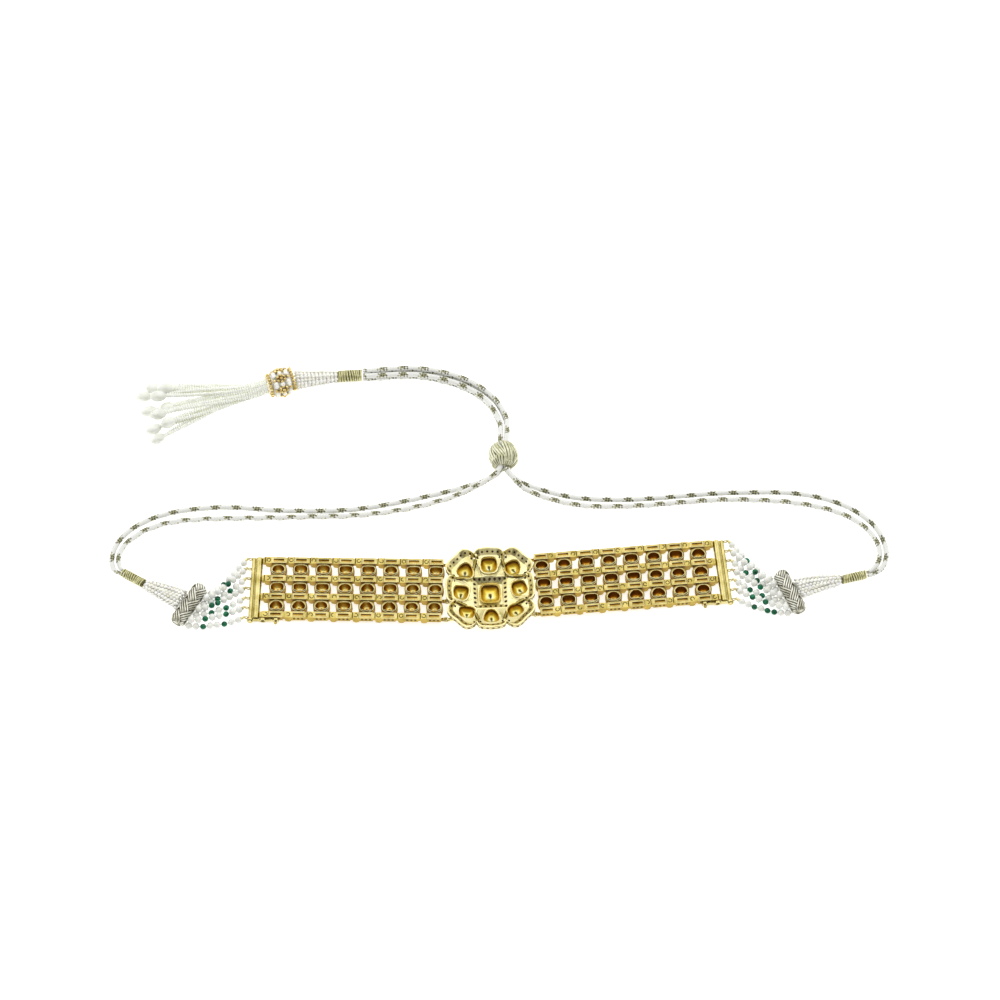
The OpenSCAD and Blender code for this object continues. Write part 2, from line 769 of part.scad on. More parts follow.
module cord(route) {
    last = len(route) - 1;
    half = [for (i = [0:last]) i == 0 ? cord_end_r : i == 1 ? cord_bend_r : cord_d / 2];
    color("whitesmoke")
        swept(route, half, half, cord_sides);
}

module slide_ball() {
    color("darkkhaki")
        translate(ball_at)
            rotate([90, 0, 0])
                rotate_extrude($fn = fine)
                    difference() {
                        polygon([for (i = [0:24]) ball_r * [sin(180 * i / 24), cos(180 * i / 24)]]);
                        translate([-1, -ball_r])
                            square([1 + ball_bore_d / 2, 2 * ball_r]);
                    }
}

module tassel_taper() {
    color("ivory")
        along(tassel_whip[1], cap_ends[0] - [0, 0, 1.2])
            translate([0, 0, 0.5])
                cylinder(r1 = 2.4, r2 = 3.9, h = norm(cap_ends[0] - tassel_whip[1]) - 1.4, $fn = fine);
}

module tassel_cap() {
    l = norm(cap_ends[1] - cap_ends[0]);
    n = len(cap_r) - 1;
    color("goldenrod")
        along(cap_ends[0], cap_ends[1])
            rotate_extrude($fn = fine)
                polygon(concat([[0, 0]], [for (i = [0:n]) [cap_r[i], l * i / n]], [[0, l]]));
}

// Locks of seed pearls that spread from the cap, each with a drop pearl at its end
module tassel() {
    axis = unit(cap_ends[1] - cap_ends[0]);
    head = cap_ends[1] + 3 * axis;
    color("ivory") {
        hull() {
            translate(head)
                sphere(r = 2.7, $fn = 10);
            translate(head + 5 * axis - [0, 0, 0.8])
                sphere(r = 3.4, $fn = 10);
        }
        for (d = drops) {
            mid = head + (d - head) * 0.5 + [0, 0, 0.2];
            along_lock(head + 2 * axis, mid, 1.3, lock_r);
            along_lock(mid, d, lock_r, 1);
            along_lock(d, d + unit(d - head) * 2.2, drop_r, 0.9);
        }
    }
}
module along_lock(a, b, ra, rb) {
    hull() {
        translate(a)
            sphere(r = ra, $fn = 8);
        translate(b)
            sphere(r = rb, $fn = 8);
    }
}

medallion();
medallion_stone(0);  // medallion_stone_1
medallion_stone(1);  // medallion_stone_2
medallion_stone(2);  // medallion_stone_3
medallion_stone(3);  // medallion_stone_4
medallion_stone(4);  // medallion_stone_5
medallion_stone(5);  // medallion_stone_6
medallion_stone(6);  // medallion_stone_7
medallion_stone(7);  // medallion_stone_8
medallion_stone(8);  // medallion_stone_9
jump_rings(LEFT);  // left_rings
jump_rings(RIGHT);  // right_rings
link(LEFT, 1);  // left_link_1
link(LEFT, 2);  // left_link_2
link(LEFT, 3);  // left_link_3
link(LEFT, 4);  // left_link_4
link(LEFT, 5);  // left_link_5
link(LEFT, 6);  // left_link_6
link(LEFT, 7);  // left_link_7
link(LEFT, 8);  // left_link_8
link(RIGHT, 1);  // right_link_1
link(RIGHT, 2);  // right_link_2
link(RIGHT, 3);  // right_link_3
link(RIGHT, 4);  // right_link_4
link(RIGHT, 5);  // right_link_5
link(RIGHT, 6);  // right_link_6
link(RIGHT, 7);  // right_link_7
link(RIGHT, 8);  // right_link_8
band_stones(LEFT);  // left_stones
band_stones(RIGHT);  // right_stones
clasp_tube(LEFT);  // left_clasp_tube
clasp_tube(RIGHT);  // right_clasp_tube
clasp_bar(LEFT);  // left_clasp_bar
clasp_bar(RIGHT);  // right_clasp_bar
safety_catch(LEFT);  // left_catch
safety_catch(RIGHT);  // right_catch
pearls(LEFT);  // left_pearls
pearls(RIGHT);  // right_pearls
emeralds(LEFT);  // left_emeralds
emeralds(RIGHT);  // right_emeralds
threads(LEFT);  // left_threads
threads(RIGHT);  // right_threads
toggle(LEFT);  // left_toggle
toggle(RIGHT);  // right_toggle
taper(LEFT);  // left_taper
taper(RIGHT);  // right_taper
whipping(left_whip, side_whip_r);  // left_whipping
whipping(right_whip, side_whip_r);  // right_whipping
cord(left_route_1);  // left_cord_1
cord(left_route_2);  // left_cord_2
cord(right_route_1);  // right_cord_1
cord(right_route_2);  // right_cord_2
slide_ball();
whipping(tassel_whip, tassel_whip_r);  // tassel_whipping
tassel_taper();
tassel_cap();
tassel();
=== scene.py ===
# %% [markdown]
# # A convertible bracelet, lying face down
# The bracelet is a gold flower with two hinged bands, strands of pearls, and four braided cords that
# run through a thread-wound ball to a tassel. It lies with its back up, so what shows is the
# goldsmith's side: open cups, pierced rails, hinge knuckles and slide clasps. The metal comes from
# CAD and stays as it is. Everything that is strung, wound, twisted or braided is made here.

# %% Load the frame
import math
from collections import namedtuple

import bmesh
import bpy
import numpy as np
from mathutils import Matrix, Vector


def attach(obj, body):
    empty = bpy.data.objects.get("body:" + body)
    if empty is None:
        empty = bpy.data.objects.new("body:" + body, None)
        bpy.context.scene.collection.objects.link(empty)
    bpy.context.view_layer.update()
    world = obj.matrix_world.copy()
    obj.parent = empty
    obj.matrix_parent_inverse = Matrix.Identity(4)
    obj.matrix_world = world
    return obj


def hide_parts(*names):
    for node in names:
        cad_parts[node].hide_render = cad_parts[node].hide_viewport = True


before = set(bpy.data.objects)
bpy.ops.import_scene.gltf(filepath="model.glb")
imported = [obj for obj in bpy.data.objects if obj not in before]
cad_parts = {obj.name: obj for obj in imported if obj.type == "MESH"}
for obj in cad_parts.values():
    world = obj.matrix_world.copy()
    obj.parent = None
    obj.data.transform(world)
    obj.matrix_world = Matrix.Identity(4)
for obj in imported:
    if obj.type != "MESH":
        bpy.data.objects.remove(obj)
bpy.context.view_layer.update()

MM = 0.001

# %% [markdown]
# ## The camera
# A photographer stood in front of the table with a long lens and looked down at about 62 degrees.
# A long lens far away keeps the two ends of the bracelet at the same scale, so the camera stands
# 1.8 m off. It could be turned by hand, but a direction worked out from two angles is exact.

# %% Place the camera
AIM = Vector((3.7, 41, 0)) * MM
ELEVATION = math.radians(62)
STAND_OFF = 1.8
back = Vector((0, -math.cos(ELEVATION), math.sin(ELEVATION)))
camera = bpy.data.objects.new("camera", bpy.data.cameras.new("camera"))
camera.data.lens = 170.5
camera.data.sensor_width = 36
camera.data.clip_start = 0.1
camera.location = AIM + back * STAND_OFF
camera.rotation_euler = back.to_track_quat("Z", "Y").to_euler()
bpy.context.scene.collection.objects.link(camera)
bpy.context.scene.camera = camera
print("the camera looks from", [round(v, 3) for v in camera.location])

# %% [markdown]
# ## Meshes from rows of points
# Most soft pieces follow a line: a cord, a strand, a lock of the tassel. These helpers turn a few
# points into a smooth line in equal steps, carry a frame along it without twisting, and join rings
# of points into a closed skin. All of them work in millimetres, and the mesh is made in metres.

# %% Turns and directions
UPWARD = (0, 0, 1)


def unit(v):
    return np.asarray(v, float) / np.linalg.norm(v)


def turned_flat(v, angle):
    """A place on the table, turned about the origin."""
    c, s = math.cos(angle), math.sin(angle)
    return np.array([v[0] * c - v[1] * s, v[0] * s + v[1] * c])


def turned_rows(rows, angle):
    """Rows of points, turned about the upright line through the origin."""
    c, s = math.cos(angle), math.sin(angle)
    return rows @ np.array([[c, s, 0], [-s, c, 0], [0, 0, 1]])


# %% Lines in equal steps
CURVE_STEPS = 24


def spaced(line, step):
    """The same line with its points the same distance apart."""
    line = np.asarray(line, float)
    gone = np.concatenate([[0], np.cumsum(np.linalg.norm(np.diff(line, axis=0), axis=1))])
    at = np.linspace(0, gone[-1], max(2, int(round(gone[-1] / step)) + 1))
    return np.stack([np.interp(at, gone, line[:, k]) for k in range(3)], 1)


def smooth_line(points, step):
    """A centripetal curve through the points, so that it doesn't swing out on long stretches."""
    p = np.asarray(points, float)
    p = np.vstack([2 * p[0] - p[1], p, 2 * p[-1] - p[-2]])
    line = []
    for a, b, c, d in zip(p, p[1:], p[2:], p[3:]):
        t0 = 0
        t1 = t0 + np.linalg.norm(b - a) ** 0.5
        t2 = t1 + np.linalg.norm(c - b) ** 0.5
        t3 = t2 + np.linalg.norm(d - c) ** 0.5
        for t in np.linspace(t1, t2, CURVE_STEPS, endpoint=False):
            ab = ((t1 - t) * a + (t - t0) * b) / (t1 - t0)
            bc = ((t2 - t) * b + (t - t1) * c) / (t2 - t1)
            cd = ((t3 - t) * c + (t - t2) * d) / (t3 - t2)
            left = ((t2 - t) * ab + (t - t0) * bc) / (t2 - t0)
            right = ((t3 - t) * bc + (t - t1) * cd) / (t3 - t1)
            line.append(((t2 - t) * left + (t - t1) * right) / (t2 - t1))
    return spaced(line + [p[-2]], step)


# %% A frame carried along a line
def frames_on(line):
    """Heading, side and top at each point, carried along without twist."""
    heading = np.gradient(line, axis=0)
    heading /= np.linalg.norm(heading, axis=1)[:, None]
    top = np.zeros_like(line)
    last = np.array(UPWARD, float)
    for i, h in enumerate(heading):
        last = unit(last - h * (last @ h))
        top[i] = last
    return heading, np.cross(heading, top), top


# %% Skins and pieces
def new_piece(name, mesh):
    piece = bpy.data.objects.new(name, mesh)
    bpy.context.scene.collection.objects.link(piece)
    return piece


def make_mesh(name, places, edges=(), faces=()):
    mesh = bpy.data.meshes.new(name)
    mesh.from_pydata((np.asarray(places, float).reshape(-1, 3) * MM).tolist(), edges, faces)
    mesh.shade_smooth()
    return mesh


def skin(name, rings):
    """A closed skin over rings of points, given as rings x points x 3."""
    n, m = rings.shape[:2]
    faces = [
        (i * m + j, i * m + (j + 1) % m, (i + 1) * m + (j + 1) % m, (i + 1) * m + j)
        for i in range(n - 1)
        for j in range(m)
    ]
    faces += [tuple(range(m))[::-1], tuple(range((n - 1) * m, n * m))]
    return make_mesh(name, rings, faces=faces)


def skinned(name, rings, material):
    piece = new_piece(name, skin(name, rings))
    piece.data.materials.append(material)
    return piece


# %% [markdown]
# ## The braided cords
# Two cords leave each side whipping, meet in the ball, and lie side by side on to the tassel. Each
# is a hollow braid of sixteen white yarns. Three neighbours in each direction carry metal thread:
# where they cross they make the olive blotch with its short arms. Sixteen woven tubes would be
# heavy, so the cord is one fine tube whose surface is raised and sunk by the braid's own rule, and
# the same rule says which yarn each point belongs to.

# %% Routes of the cords, in millimetres
CORD_D = 2.1
ROUTES = {
    "left_cord_1": [
        (-139.3, 8.9, 1.5), (-141.4, 10.2, 1.1), (-142.7, 14, 1.1), (-141.6, 20.4, 1.1),
        (-136.1, 27.6, 1.1), (-124, 34, 1.1), (-103.5, 37.2, 1.1), (-76.4, 35.8, 1.1),
        (-50, 36.6, 1.1), (-18.4, 43.4, 1.1), (-8, 46.4, 1.4), (-1.6, 47.9, 3.2),
        (2.3, 49.6, 4.5), (3.9, 52, 4.8), (3.9, 63, 4.8), (3.9, 69, 3),
        (3.3, 74, 1.2), (-1, 82.3, 1.1), (-10.4, 89.2, 1.1), (-27, 94, 1.1),
        (-48.9, 93.1, 1.4),
    ],
    "left_cord_2": [
        (-138.5, 10.3, 1.5), (-139.5, 11.7, 1.1), (-140.2, 14.6, 1.1), (-139, 19.6, 1.1),
        (-133, 25.8, 1.1), (-121, 30.8, 1.1), (-76, 33, 1.1), (-50, 33.9, 1.1),
        (-31.9, 36.6, 1.1), (-14, 41.6, 1.6), (-7.2, 43.9, 3.7), (-1.2, 46.6, 5.7),
        (2.4, 49.3, 6.8), (3.9, 52, 7), (3.9, 63, 7), (3.9, 69, 5.2),
        (3.3, 74, 3.4), (-1.2, 82, 3.3), (-10.6, 89, 3.3), (-27, 93.7, 3.3),
        (-48.9, 93.1, 3.6),
    ],
    "right_cord_1": [
        (142.3, 7.9, 1.5), (145.2, 9.2, 1.1), (148.8, 13.4, 1.1), (149.4, 20, 1.1),
        (145.7, 29, 1.1), (136, 37.2, 1.1), (119, 42.8, 1.1), (91, 43.5, 1.1),
        (52.2, 40.6, 1.1), (32.8, 41.4, 1.1), (20, 44.6, 1.2), (12, 47, 2.9),
        (7.8, 49.6, 4.5), (6.1, 52, 4.8), (6.1, 63, 4.8), (6.4, 69, 3),
        (6, 75, 1.2), (1.4, 84, 1.1), (-9.4, 92, 1.1), (-27, 96.8, 1.1),
        (-48.9, 95.3, 1.4),
    ],
    "right_cord_2": [
        (142, 9.3, 1.5), (144.1, 10.9, 1.1), (146.6, 14.6, 1.1), (146.6, 21, 1.1),
        (142.2, 28.4, 1.1), (133, 34.6, 1.1), (117, 39, 1.1), (91, 40.6, 1.1),
        (52.2, 37.8, 1.1), (34, 38.2, 1.1), (20, 41.6, 1.6), (12.8, 44, 4),
        (8.4, 47.6, 6.4), (6.1, 52, 7), (6.1, 63, 7), (6.4, 69, 5.2),
        (6, 75, 3.4), (1.2, 83.8, 3.3), (-9.6, 91.8, 3.3), (-27, 96.5, 3.3),
        (-48.9, 95.3, 3.6),
    ],
}

# %% The braid's rule
# Yarns in each direction, and the length in which one of them goes once round the cord
YARNS = 8
BRAID_LAY = 8
# These yarns carry metal, and it shows where they lie over these of the other direction
METAL_YARNS = (0, 1, 2)
FLECK_ARMS = (0, 1, 2, 3, 6, 7)


def braid(turn, along):
    """Height from 0 to 1 for a turn and a length, and 0.6 or 1 where metal of either way is on top."""
    one_way = YARNS * (turn + along / BRAID_LAY)
    other_way = YARNS * (turn - along / BRAID_LAY)
    over = (np.floor(one_way) + np.floor(other_way)) % 2 == 0
    across = np.where(over, one_way, other_way) % 1 - 0.5
    lengthwise = np.where(over, other_way, one_way) % 1 - 0.5
    height = np.sqrt(np.cos(math.pi * across).clip(0)) * (0.55 + 0.45 * np.cos(math.pi * lengthwise))
    on_top = np.floor(np.where(over, one_way, other_way)) % YARNS
    below = np.floor(np.where(over, other_way, one_way)) % YARNS
    metal = np.isin(on_top, METAL_YARNS) & np.isin(below, FLECK_ARMS)
    return height, metal * np.where(over, 0.6, 1.0)


# %% Make the cords
CORD_STEP = 0.2
CORD_POINTS = 32
BRAID_DEPTH = 0.16
# A cord is drawn in where it enters a whipping: places along it, and its radius there
TIP_PLACES, TIP_RADII = (0, 1.5, 4), (0.68, 0.86, CORD_D / 2)
# Turn and length by which the marks of each cord are moved, so that no two cords look alike
FLECK_TURNS = {"left_cord_1": 0.12, "left_cord_2": 0.22, "right_cord_1": 0.27, "right_cord_2": 0.17}
FLECK_STARTS = {"left_cord_1": 0, "left_cord_2": 2.6, "right_cord_1": 5.2, "right_cord_2": 1.1}


def make_cord(name):
    line = smooth_line(ROUTES[name], CORD_STEP)
    _, side, top = frames_on(line)
    along = np.arange(len(line)) * CORD_STEP
    radius = np.interp(along, TIP_PLACES, TIP_RADII)
    turn = np.arange(CORD_POINTS) / CORD_POINTS
    height, metal = braid(turn[None, :] + FLECK_TURNS[name], along[:, None] + FLECK_STARTS[name])
    r = radius[:, None] - BRAID_DEPTH * (1 - height)
    angle = 2 * math.pi * turn
    rings = line[:, None] + r[..., None] * (
        top[:, None] * np.cos(angle)[None, :, None] + side[:, None] * np.sin(angle)[None, :, None]
    )
    cord = new_piece(name.replace("_cord_", "_braid_"), skin(name, rings))
    for title, values in (("metal", metal), ("height", height)):
        layer = cord.data.attributes.new(title, "FLOAT", "POINT")
        layer.data.foreach_set("value", values.astype(np.float32).ravel())
    return cord, line


cords, cord_lines = {}, {}
for cord_name in ROUTES:
    cords[cord_name], cord_lines[cord_name] = make_cord(cord_name)
    print(cord_name, "is", round((len(cord_lines[cord_name]) - 1) * CORD_STEP, 1), "mm long")

# %% [markdown]
# ## A plain pale studio
# The photograph was taken in a white light tent: white above, behind and at both sides, and dark
# where the photographer stood. Polished gold shows whatever stands around it, so the lamps matter as
# much as the metal. A bright sheet above, three dimmer walls and a dim card in front make the same
# surroundings, and the floor is one pale sheet.

# %% Floor, lamps and world
scene = bpy.context.scene
scene.view_settings.view_transform = "Standard"

FLOOR_HALF = 1500
FLOOR_Z = -0.1
corners = [(x * FLOOR_HALF, y * FLOOR_HALF, FLOOR_Z) for x, y in ((-1, -1), (1, -1), (1, 1), (-1, 1))]
floor = new_piece("floor", make_mesh("floor", corners, faces=[(0, 1, 2, 3)]))


def lamp(name, place, aim, width, height, radiance):
    """A sheet of even light, its place, aim and size in metres."""
    light = bpy.data.lights.new(name, "AREA")
    light.shape = "RECTANGLE"
    light.size, light.size_y = width, height
    light.energy = radiance * math.pi * width * height
    stand = bpy.data.objects.new(name, light)
    stand.location = place
    stand.rotation_euler = (Vector(place) - Vector(aim)).to_track_quat("Z", "Y").to_euler()
    scene.collection.objects.link(stand)


# The walls face a place a little above the bracelet
OVER_BRACELET = (0, 0.03, 0.3)
lamp("sheet_above", (0, 0.2, 1.3), (0, 0.03, 0), 2.0, 1.5, 1.34)
lamp("wall_left", (-1.5, 0.3, 0.93), OVER_BRACELET, 2.3, 1.9, 1.12)
lamp("wall_right", (1.5, 0.3, 0.93), OVER_BRACELET, 2.3, 1.9, 1.04)
lamp("wall_behind", (0, 1.7, 0.93), OVER_BRACELET, 2.4, 1.9, 1.0)
lamp("card_in_front", (0, -1.7, 0.8), OVER_BRACELET, 2.4, 1.3, 0.5)

world = bpy.data.worlds.new("tent")
world.use_nodes = True
sky = world.node_tree.nodes["Background"].inputs
sky["Color"].default_value = (1, 0.9, 0.66, 1)
sky["Strength"].default_value = 0.12
scene.world = world
print("lamps:", [light.name for light in bpy.data.lights])

# %% [markdown]
# ## Finishes
# Each finish starts from the one shader and gets its own grain. The grain reads the Object
# coordinates, which here are real metres, so a scale of 1000 means a spot about a millimetre wide.
# What is the same all over a piece is set on the shader itself. Most finishes drift between two
# tones and carry painted shade in their hollows, so one helper makes both.

# %% Start a finish and lead values into it
def finish(name, colour, **values):
    material = bpy.data.materials.new(name)
    material.use_nodes = True
    shader = material.node_tree.nodes["Principled BSDF"]
    shader.inputs["Base Color"].default_value = (*colour, 1)
    for title, value in values.items():
        shader.inputs[title.replace("_", " ")].default_value = value
    return material


def lead(material, source, title):
    shader = material.node_tree.nodes["Principled BSDF"]
    material.node_tree.links.new(source, shader.inputs[title])


# %% Greys to build on
def grain(material, scale, detail=2.0):
    place = material.node_tree.nodes.new("ShaderNodeTexCoord")
    noise = material.node_tree.nodes.new("ShaderNodeTexNoise")
    noise.inputs["Scale"].default_value = scale
    noise.inputs["Detail"].default_value = detail
    material.node_tree.links.new(place.outputs["Object"], noise.inputs["Vector"])
    return noise.outputs["Fac"]


def level(material):
    """1 on level tops and 0 on upright walls."""
    place = material.node_tree.nodes.new("ShaderNodeTexCoord")
    parts = material.node_tree.nodes.new("ShaderNodeSeparateXYZ")
    material.node_tree.links.new(place.outputs["Normal"], parts.inputs["Vector"])
    return parts.outputs["Z"]


def attribute(material, title):
    node = material.node_tree.nodes.new("ShaderNodeAttribute")
    node.attribute_name = title
    return node.outputs["Fac"]


# %% Ramps, mixtures and relief
def ramp(material, source, *stops):
    """Colours or greys between given places of source."""
    node = material.node_tree.nodes.new("ShaderNodeValToRGB")
    material.node_tree.links.new(source, node.inputs["Fac"])
    while len(node.color_ramp.elements) < len(stops):
        node.color_ramp.elements.new(0.5)
    for element, (place, colour) in zip(node.color_ramp.elements, stops):
        element.position = place
        element.color = (*colour, 1) if hasattr(colour, "__len__") else (colour, colour, colour, 1)
    return node.outputs["Color"]


def mixed(material, way, first, second, share=None):
    """Two colours mixed all over, or as much as share says where that is given."""
    mix = material.node_tree.nodes.new("ShaderNodeMix")
    mix.data_type, mix.blend_type = "RGBA", way
    mix.inputs["Factor"].default_value = 1
    for title, source in (("A", first), ("B", second), ("Factor", share)):
        if source is not None:
            material.node_tree.links.new(source, mix.inputs[title])
    return mix.outputs["Result"]


def darken(material, colour, shade):
    return mixed(material, "MULTIPLY", colour, shade)


def relief(material, source, depth, strength=1.0):
    bump = material.node_tree.nodes.new("ShaderNodeBump")
    bump.inputs["Distance"].default_value = depth * MM
    bump.inputs["Strength"].default_value = strength
    material.node_tree.links.new(source, bump.inputs["Height"])
    lead(material, bump.outputs["Normal"], "Normal")


# %% Hollows and mottling
def recess(material, reach, low, high, dark):
    """Painted shade: dark in holes and corners narrower than reach, and white in the open."""
    node = material.node_tree.nodes.new("ShaderNodeAmbientOcclusion")
    node.only_local = True
    node.samples = 8
    node.inputs["Distance"].default_value = reach * MM
    return ramp(material, node.outputs["AO"], (low, dark), (high, 1.0))


def mottle(material, scale, detail, *stops, hollows=None):
    """A base colour that drifts through the stops; hollows says what recess takes for painted shade."""
    tone = ramp(material, grain(material, scale, detail), *stops)
    if hollows:
        tone = darken(material, tone, recess(material, *hollows))
    lead(material, tone, "Base Color")


# %% The pale sheet on the table
floor_finish = finish("floor", (0.9, 0.9, 0.9), Roughness=0.9, Emission_Color=(1, 1, 1, 1),
                      Emission_Strength=0.7)
mottle(floor_finish, 9, 4, (0.3, 0.88), (0.7, 0.92))
floor.data.materials.append(floor_finish)

# %% [markdown]
# Old gold of high fineness is deep yellow. The back of such a piece was scraped and burnished by
# hand: the tone drifts a little, and fine uneven polish breaks up the reflections.

# %% Old gold
# Scales of the drift in tone, of the uneven polish, and of the burnisher's marks
TONE_GRAIN, POLISH_GRAIN, MARK_GRAIN = 260, 900, 1300


def gold_finish(name, low, high, polish, hollows, walls=(1, 1, 1)):
    """low and high: the ends of the tone; polish: least and most roughness; walls: painted shade of the
    sides.
    """
    metal = finish(name, high, Metallic=1.0)
    tone = ramp(metal, grain(metal, TONE_GRAIN, 3), (0.3, low), (0.7, high))
    # Painted shade: upright walls are darker than level tops
    tone = darken(metal, tone, ramp(metal, level(metal), (0.3, walls), (0.75, 1.0)))
    # Painted shade in holes and corners
    lead(metal, darken(metal, tone, recess(metal, *hollows)), "Base Color")
    least, most = polish
    lead(metal, ramp(metal, grain(metal, POLISH_GRAIN, 4), (0.3, least), (0.75, most)), "Roughness")
    relief(metal, grain(metal, MARK_GRAIN, 3), 0.025, 0.5)
    return metal


# The hollows colour of each gold is its painted shade
gold = gold_finish("gold", (0.72, 0.63, 0.27), (0.9, 0.84, 0.5), polish=(0.24, 0.4),
                   hollows=(1.1, 0.12, 0.5, (0.12, 0.07, 0.01)))
band_gold = gold_finish("band_gold", (0.4, 0.31, 0.07), (0.7, 0.58, 0.19), polish=(0.25, 0.42),
                        hollows=(2.4, 0.3, 0.92, (0.6, 0.34, 0.06)), walls=(0.78, 0.68, 0.3))
clasp_gold = gold_finish("clasp_gold", (0.42, 0.35, 0.1), (0.68, 0.6, 0.28), polish=(0.1, 0.2),
                         hollows=(1.6, 0.2, 0.8, (0.3, 0.17, 0.03)))
# A darker, browner gold for the floors of the slots: painted shade of their insides
slot_gold = gold_finish("slot_gold", (0.24, 0.12, 0.01), (0.66, 0.42, 0.08), polish=(0.3, 0.45),
                        hollows=(1.0, 0.1, 0.8, (0.5, 0.3, 0.08)))
lip_gold = gold_finish("lip_gold", (0.5, 0.33, 0.05), (0.85, 0.66, 0.18), polish=(0.2, 0.35),
                       hollows=(0.8, 0.1, 0.6, (0.3, 0.15, 0.02)))

# %% Gold beads, silver wire, and gold for painted shade
# The hollows of the gold beads and of the silver wire are painted shade
bead_gold = finish("gold_bead", (0.9, 0.7, 0.3), Metallic=1.0, Roughness=0.22)
mottle(bead_gold, 700, 2, (0.3, (0.48, 0.34, 0.09)), (0.7, (0.95, 0.8, 0.4)),
       hollows=(0.8, 0.25, 0.7, (0.45, 0.27, 0.06)))

silver = finish("silver_wire", (0.78, 0.75, 0.68), Metallic=0.7, Roughness=0.3)
mottle(silver, 330, 3, (0.3, (0.42, 0.41, 0.3)), (0.62, (0.88, 0.88, 0.79)),
       hollows=(0.75, 0.5, 0.9, (0.07, 0.06, 0.02)))
relief(silver, grain(silver, 2500), 0.02, 0.5)

# Painted shade: a near-black gold for plugs, dots and lines where holes, gaps and creases lie in shade
shade_gold = finish("painted_shade_gold", (0.08, 0.04, 0.01), Metallic=0.7, Roughness=0.5)
mottle(shade_gold, 600, 3, (0.3, (0.03, 0.015, 0.004)), (0.7, (0.09, 0.05, 0.012)))

# Painted shade: a dark gold for fine lines along creases, round the collets' feet and on the dish's wall
dim_gold = finish("dim_gold", (0.24, 0.16, 0.03), Metallic=0.9, Roughness=0.4)
mottle(dim_gold, 500, 3, (0.3, (0.12, 0.07, 0.01)), (0.7, (0.36, 0.25, 0.06)))

# %% [markdown]
# The stones are flat slices set over foil, so from behind one sees a bowl of warm foil. Its colour
# is painted light: a painted highlight where it lies under the middle of the stone, amber up its
# side, and painted shade, brown, in the crease at the rim and sooner on the far side, with a painted
# shadow streak from the point. Pearls are a bright body under a thin clear skin, and the small ones
# have a faint painted glow that lifts their shade. Emerald beads are cloudy green with a polished skin.

# %% Foil
def foil_finish(name, *stops):
    """stops: colours from the middle of the bowl, 0, to its rim, 1: painted highlight to painted shade."""
    foil = finish(name, stops[2][1], Metallic=0.85, Roughness=0.4, Coat_Weight=0.12)
    tone = ramp(foil, attribute(foil, "outward"), *stops)
    crumple = ramp(foil, grain(foil, 420, 3), (0.25, 0.75), (0.7, 1.0))
    lead(foil, darken(foil, tone, crumple), "Base Color")
    return foil


# Painted light in both foils: a pale highlight near the middle, shade turning brown toward the rim. The
# first two stops of the cups' foil paint the shadow streak.
cup_foil = foil_finish(
    "foiled_stone", (0.0, (0.07, 0.08, 0.05)), (0.12, (0.16, 0.18, 0.1)), (0.17, (1, 1, 0.78)),
    (0.34, (1, 0.92, 0.33)), (0.55, (0.92, 0.71, 0.09)), (0.78, (0.7, 0.42, 0.015)),
    (0.93, (0.38, 0.17, 0.002)), (1.0, (0.1, 0.04, 0.0)))
collet_foil = foil_finish(
    "collet_foil", (0.0, (0.7, 0.65, 0.35)), (0.12, (1, 0.95, 0.55)), (0.26, (1, 0.82, 0.22)),
    (0.42, (0.8, 0.47, 0.04)), (0.6, (0.46, 0.19, 0.003)), (0.8, (0.24, 0.08, 0.0)),
    (1.0, (0.11, 0.035, 0.0)))

# %% Pearls and emeralds
PEARL_WHITE = (0.9, 0.89, 0.87)
SMALL_PEARL = {"Roughness": 0.3, "Coat_Weight": 0.5, "Subsurface_Weight": 0.3,
               "Subsurface_Radius": (0.0005, 0.0005, 0.0003)}

pearl = finish("pearl", PEARL_WHITE, Roughness=0.22, Coat_Weight=0.6, Sheen_Weight=0.15,
               Subsurface_Weight=0.25, Subsurface_Radius=(0.0006, 0.0005, 0.0004))
mottle(pearl, 300, 2, (0.35, (0.78, 0.79, 0.75)), (0.65, (0.88, 0.89, 0.85)))

# The small pearls glow faintly, painted light that lifts their shade, and their hollows are painted shade
seed_pearl = finish("seed_pearl", PEARL_WHITE, **SMALL_PEARL, Emission_Color=(1, 0.98, 0.88, 1),
                    Emission_Strength=0.03)
mottle(seed_pearl, 500, 2, (0.3, (0.86, 0.86, 0.79)), (0.6, (0.94, 0.94, 0.91)),
       hollows=(0.7, 0.1, 0.5, (0.5, 0.48, 0.3)))

# The fine ones glow more, and their hollows take a pale painted shade
fine_pearl = finish("fine_seed_pearl", PEARL_WHITE, **SMALL_PEARL, Emission_Color=(1, 1, 0.9, 1),
                    Emission_Strength=0.1)
mottle(fine_pearl, 500, 2, (0.3, (0.78, 0.8, 0.74)), (0.6, (0.84, 0.86, 0.83)),
       hollows=(1.2, 0.1, 0.6, (0.97, 0.97, 0.78)))

drop_pearl = finish("drop_pearl", PEARL_WHITE, Roughness=0.2, Coat_Weight=0.8, Subsurface_Weight=0.2,
                    Subsurface_Radius=(0.0006, 0.0006, 0.0004))
mottle(drop_pearl, 260, 3, (0.3, (0.74, 0.77, 0.68)), (0.65, (0.9, 0.92, 0.87)))

emerald = finish("emerald", (0.0, 0.12, 0.05), Roughness=0.2, Specular_IOR_Level=0.3)
mottle(emerald, 650, 3, (0.3, (0.0, 0.03, 0.012)), (0.72, (0.006, 0.23, 0.1)))

# %% [markdown]
# Thread takes light softly and sends some back at grazing angles, which is what sheen is for. On
# the cords the colour comes from the braid's own marks: white where a white yarn is on top, olive
# metal thread where one of the others is, and painted shade in the grooves.

# %% Threads
thread = finish("thread", (0.85, 0.84, 0.8), Roughness=0.6, Sheen_Weight=0.4)
relief(thread, grain(thread, 6000), 0.02)

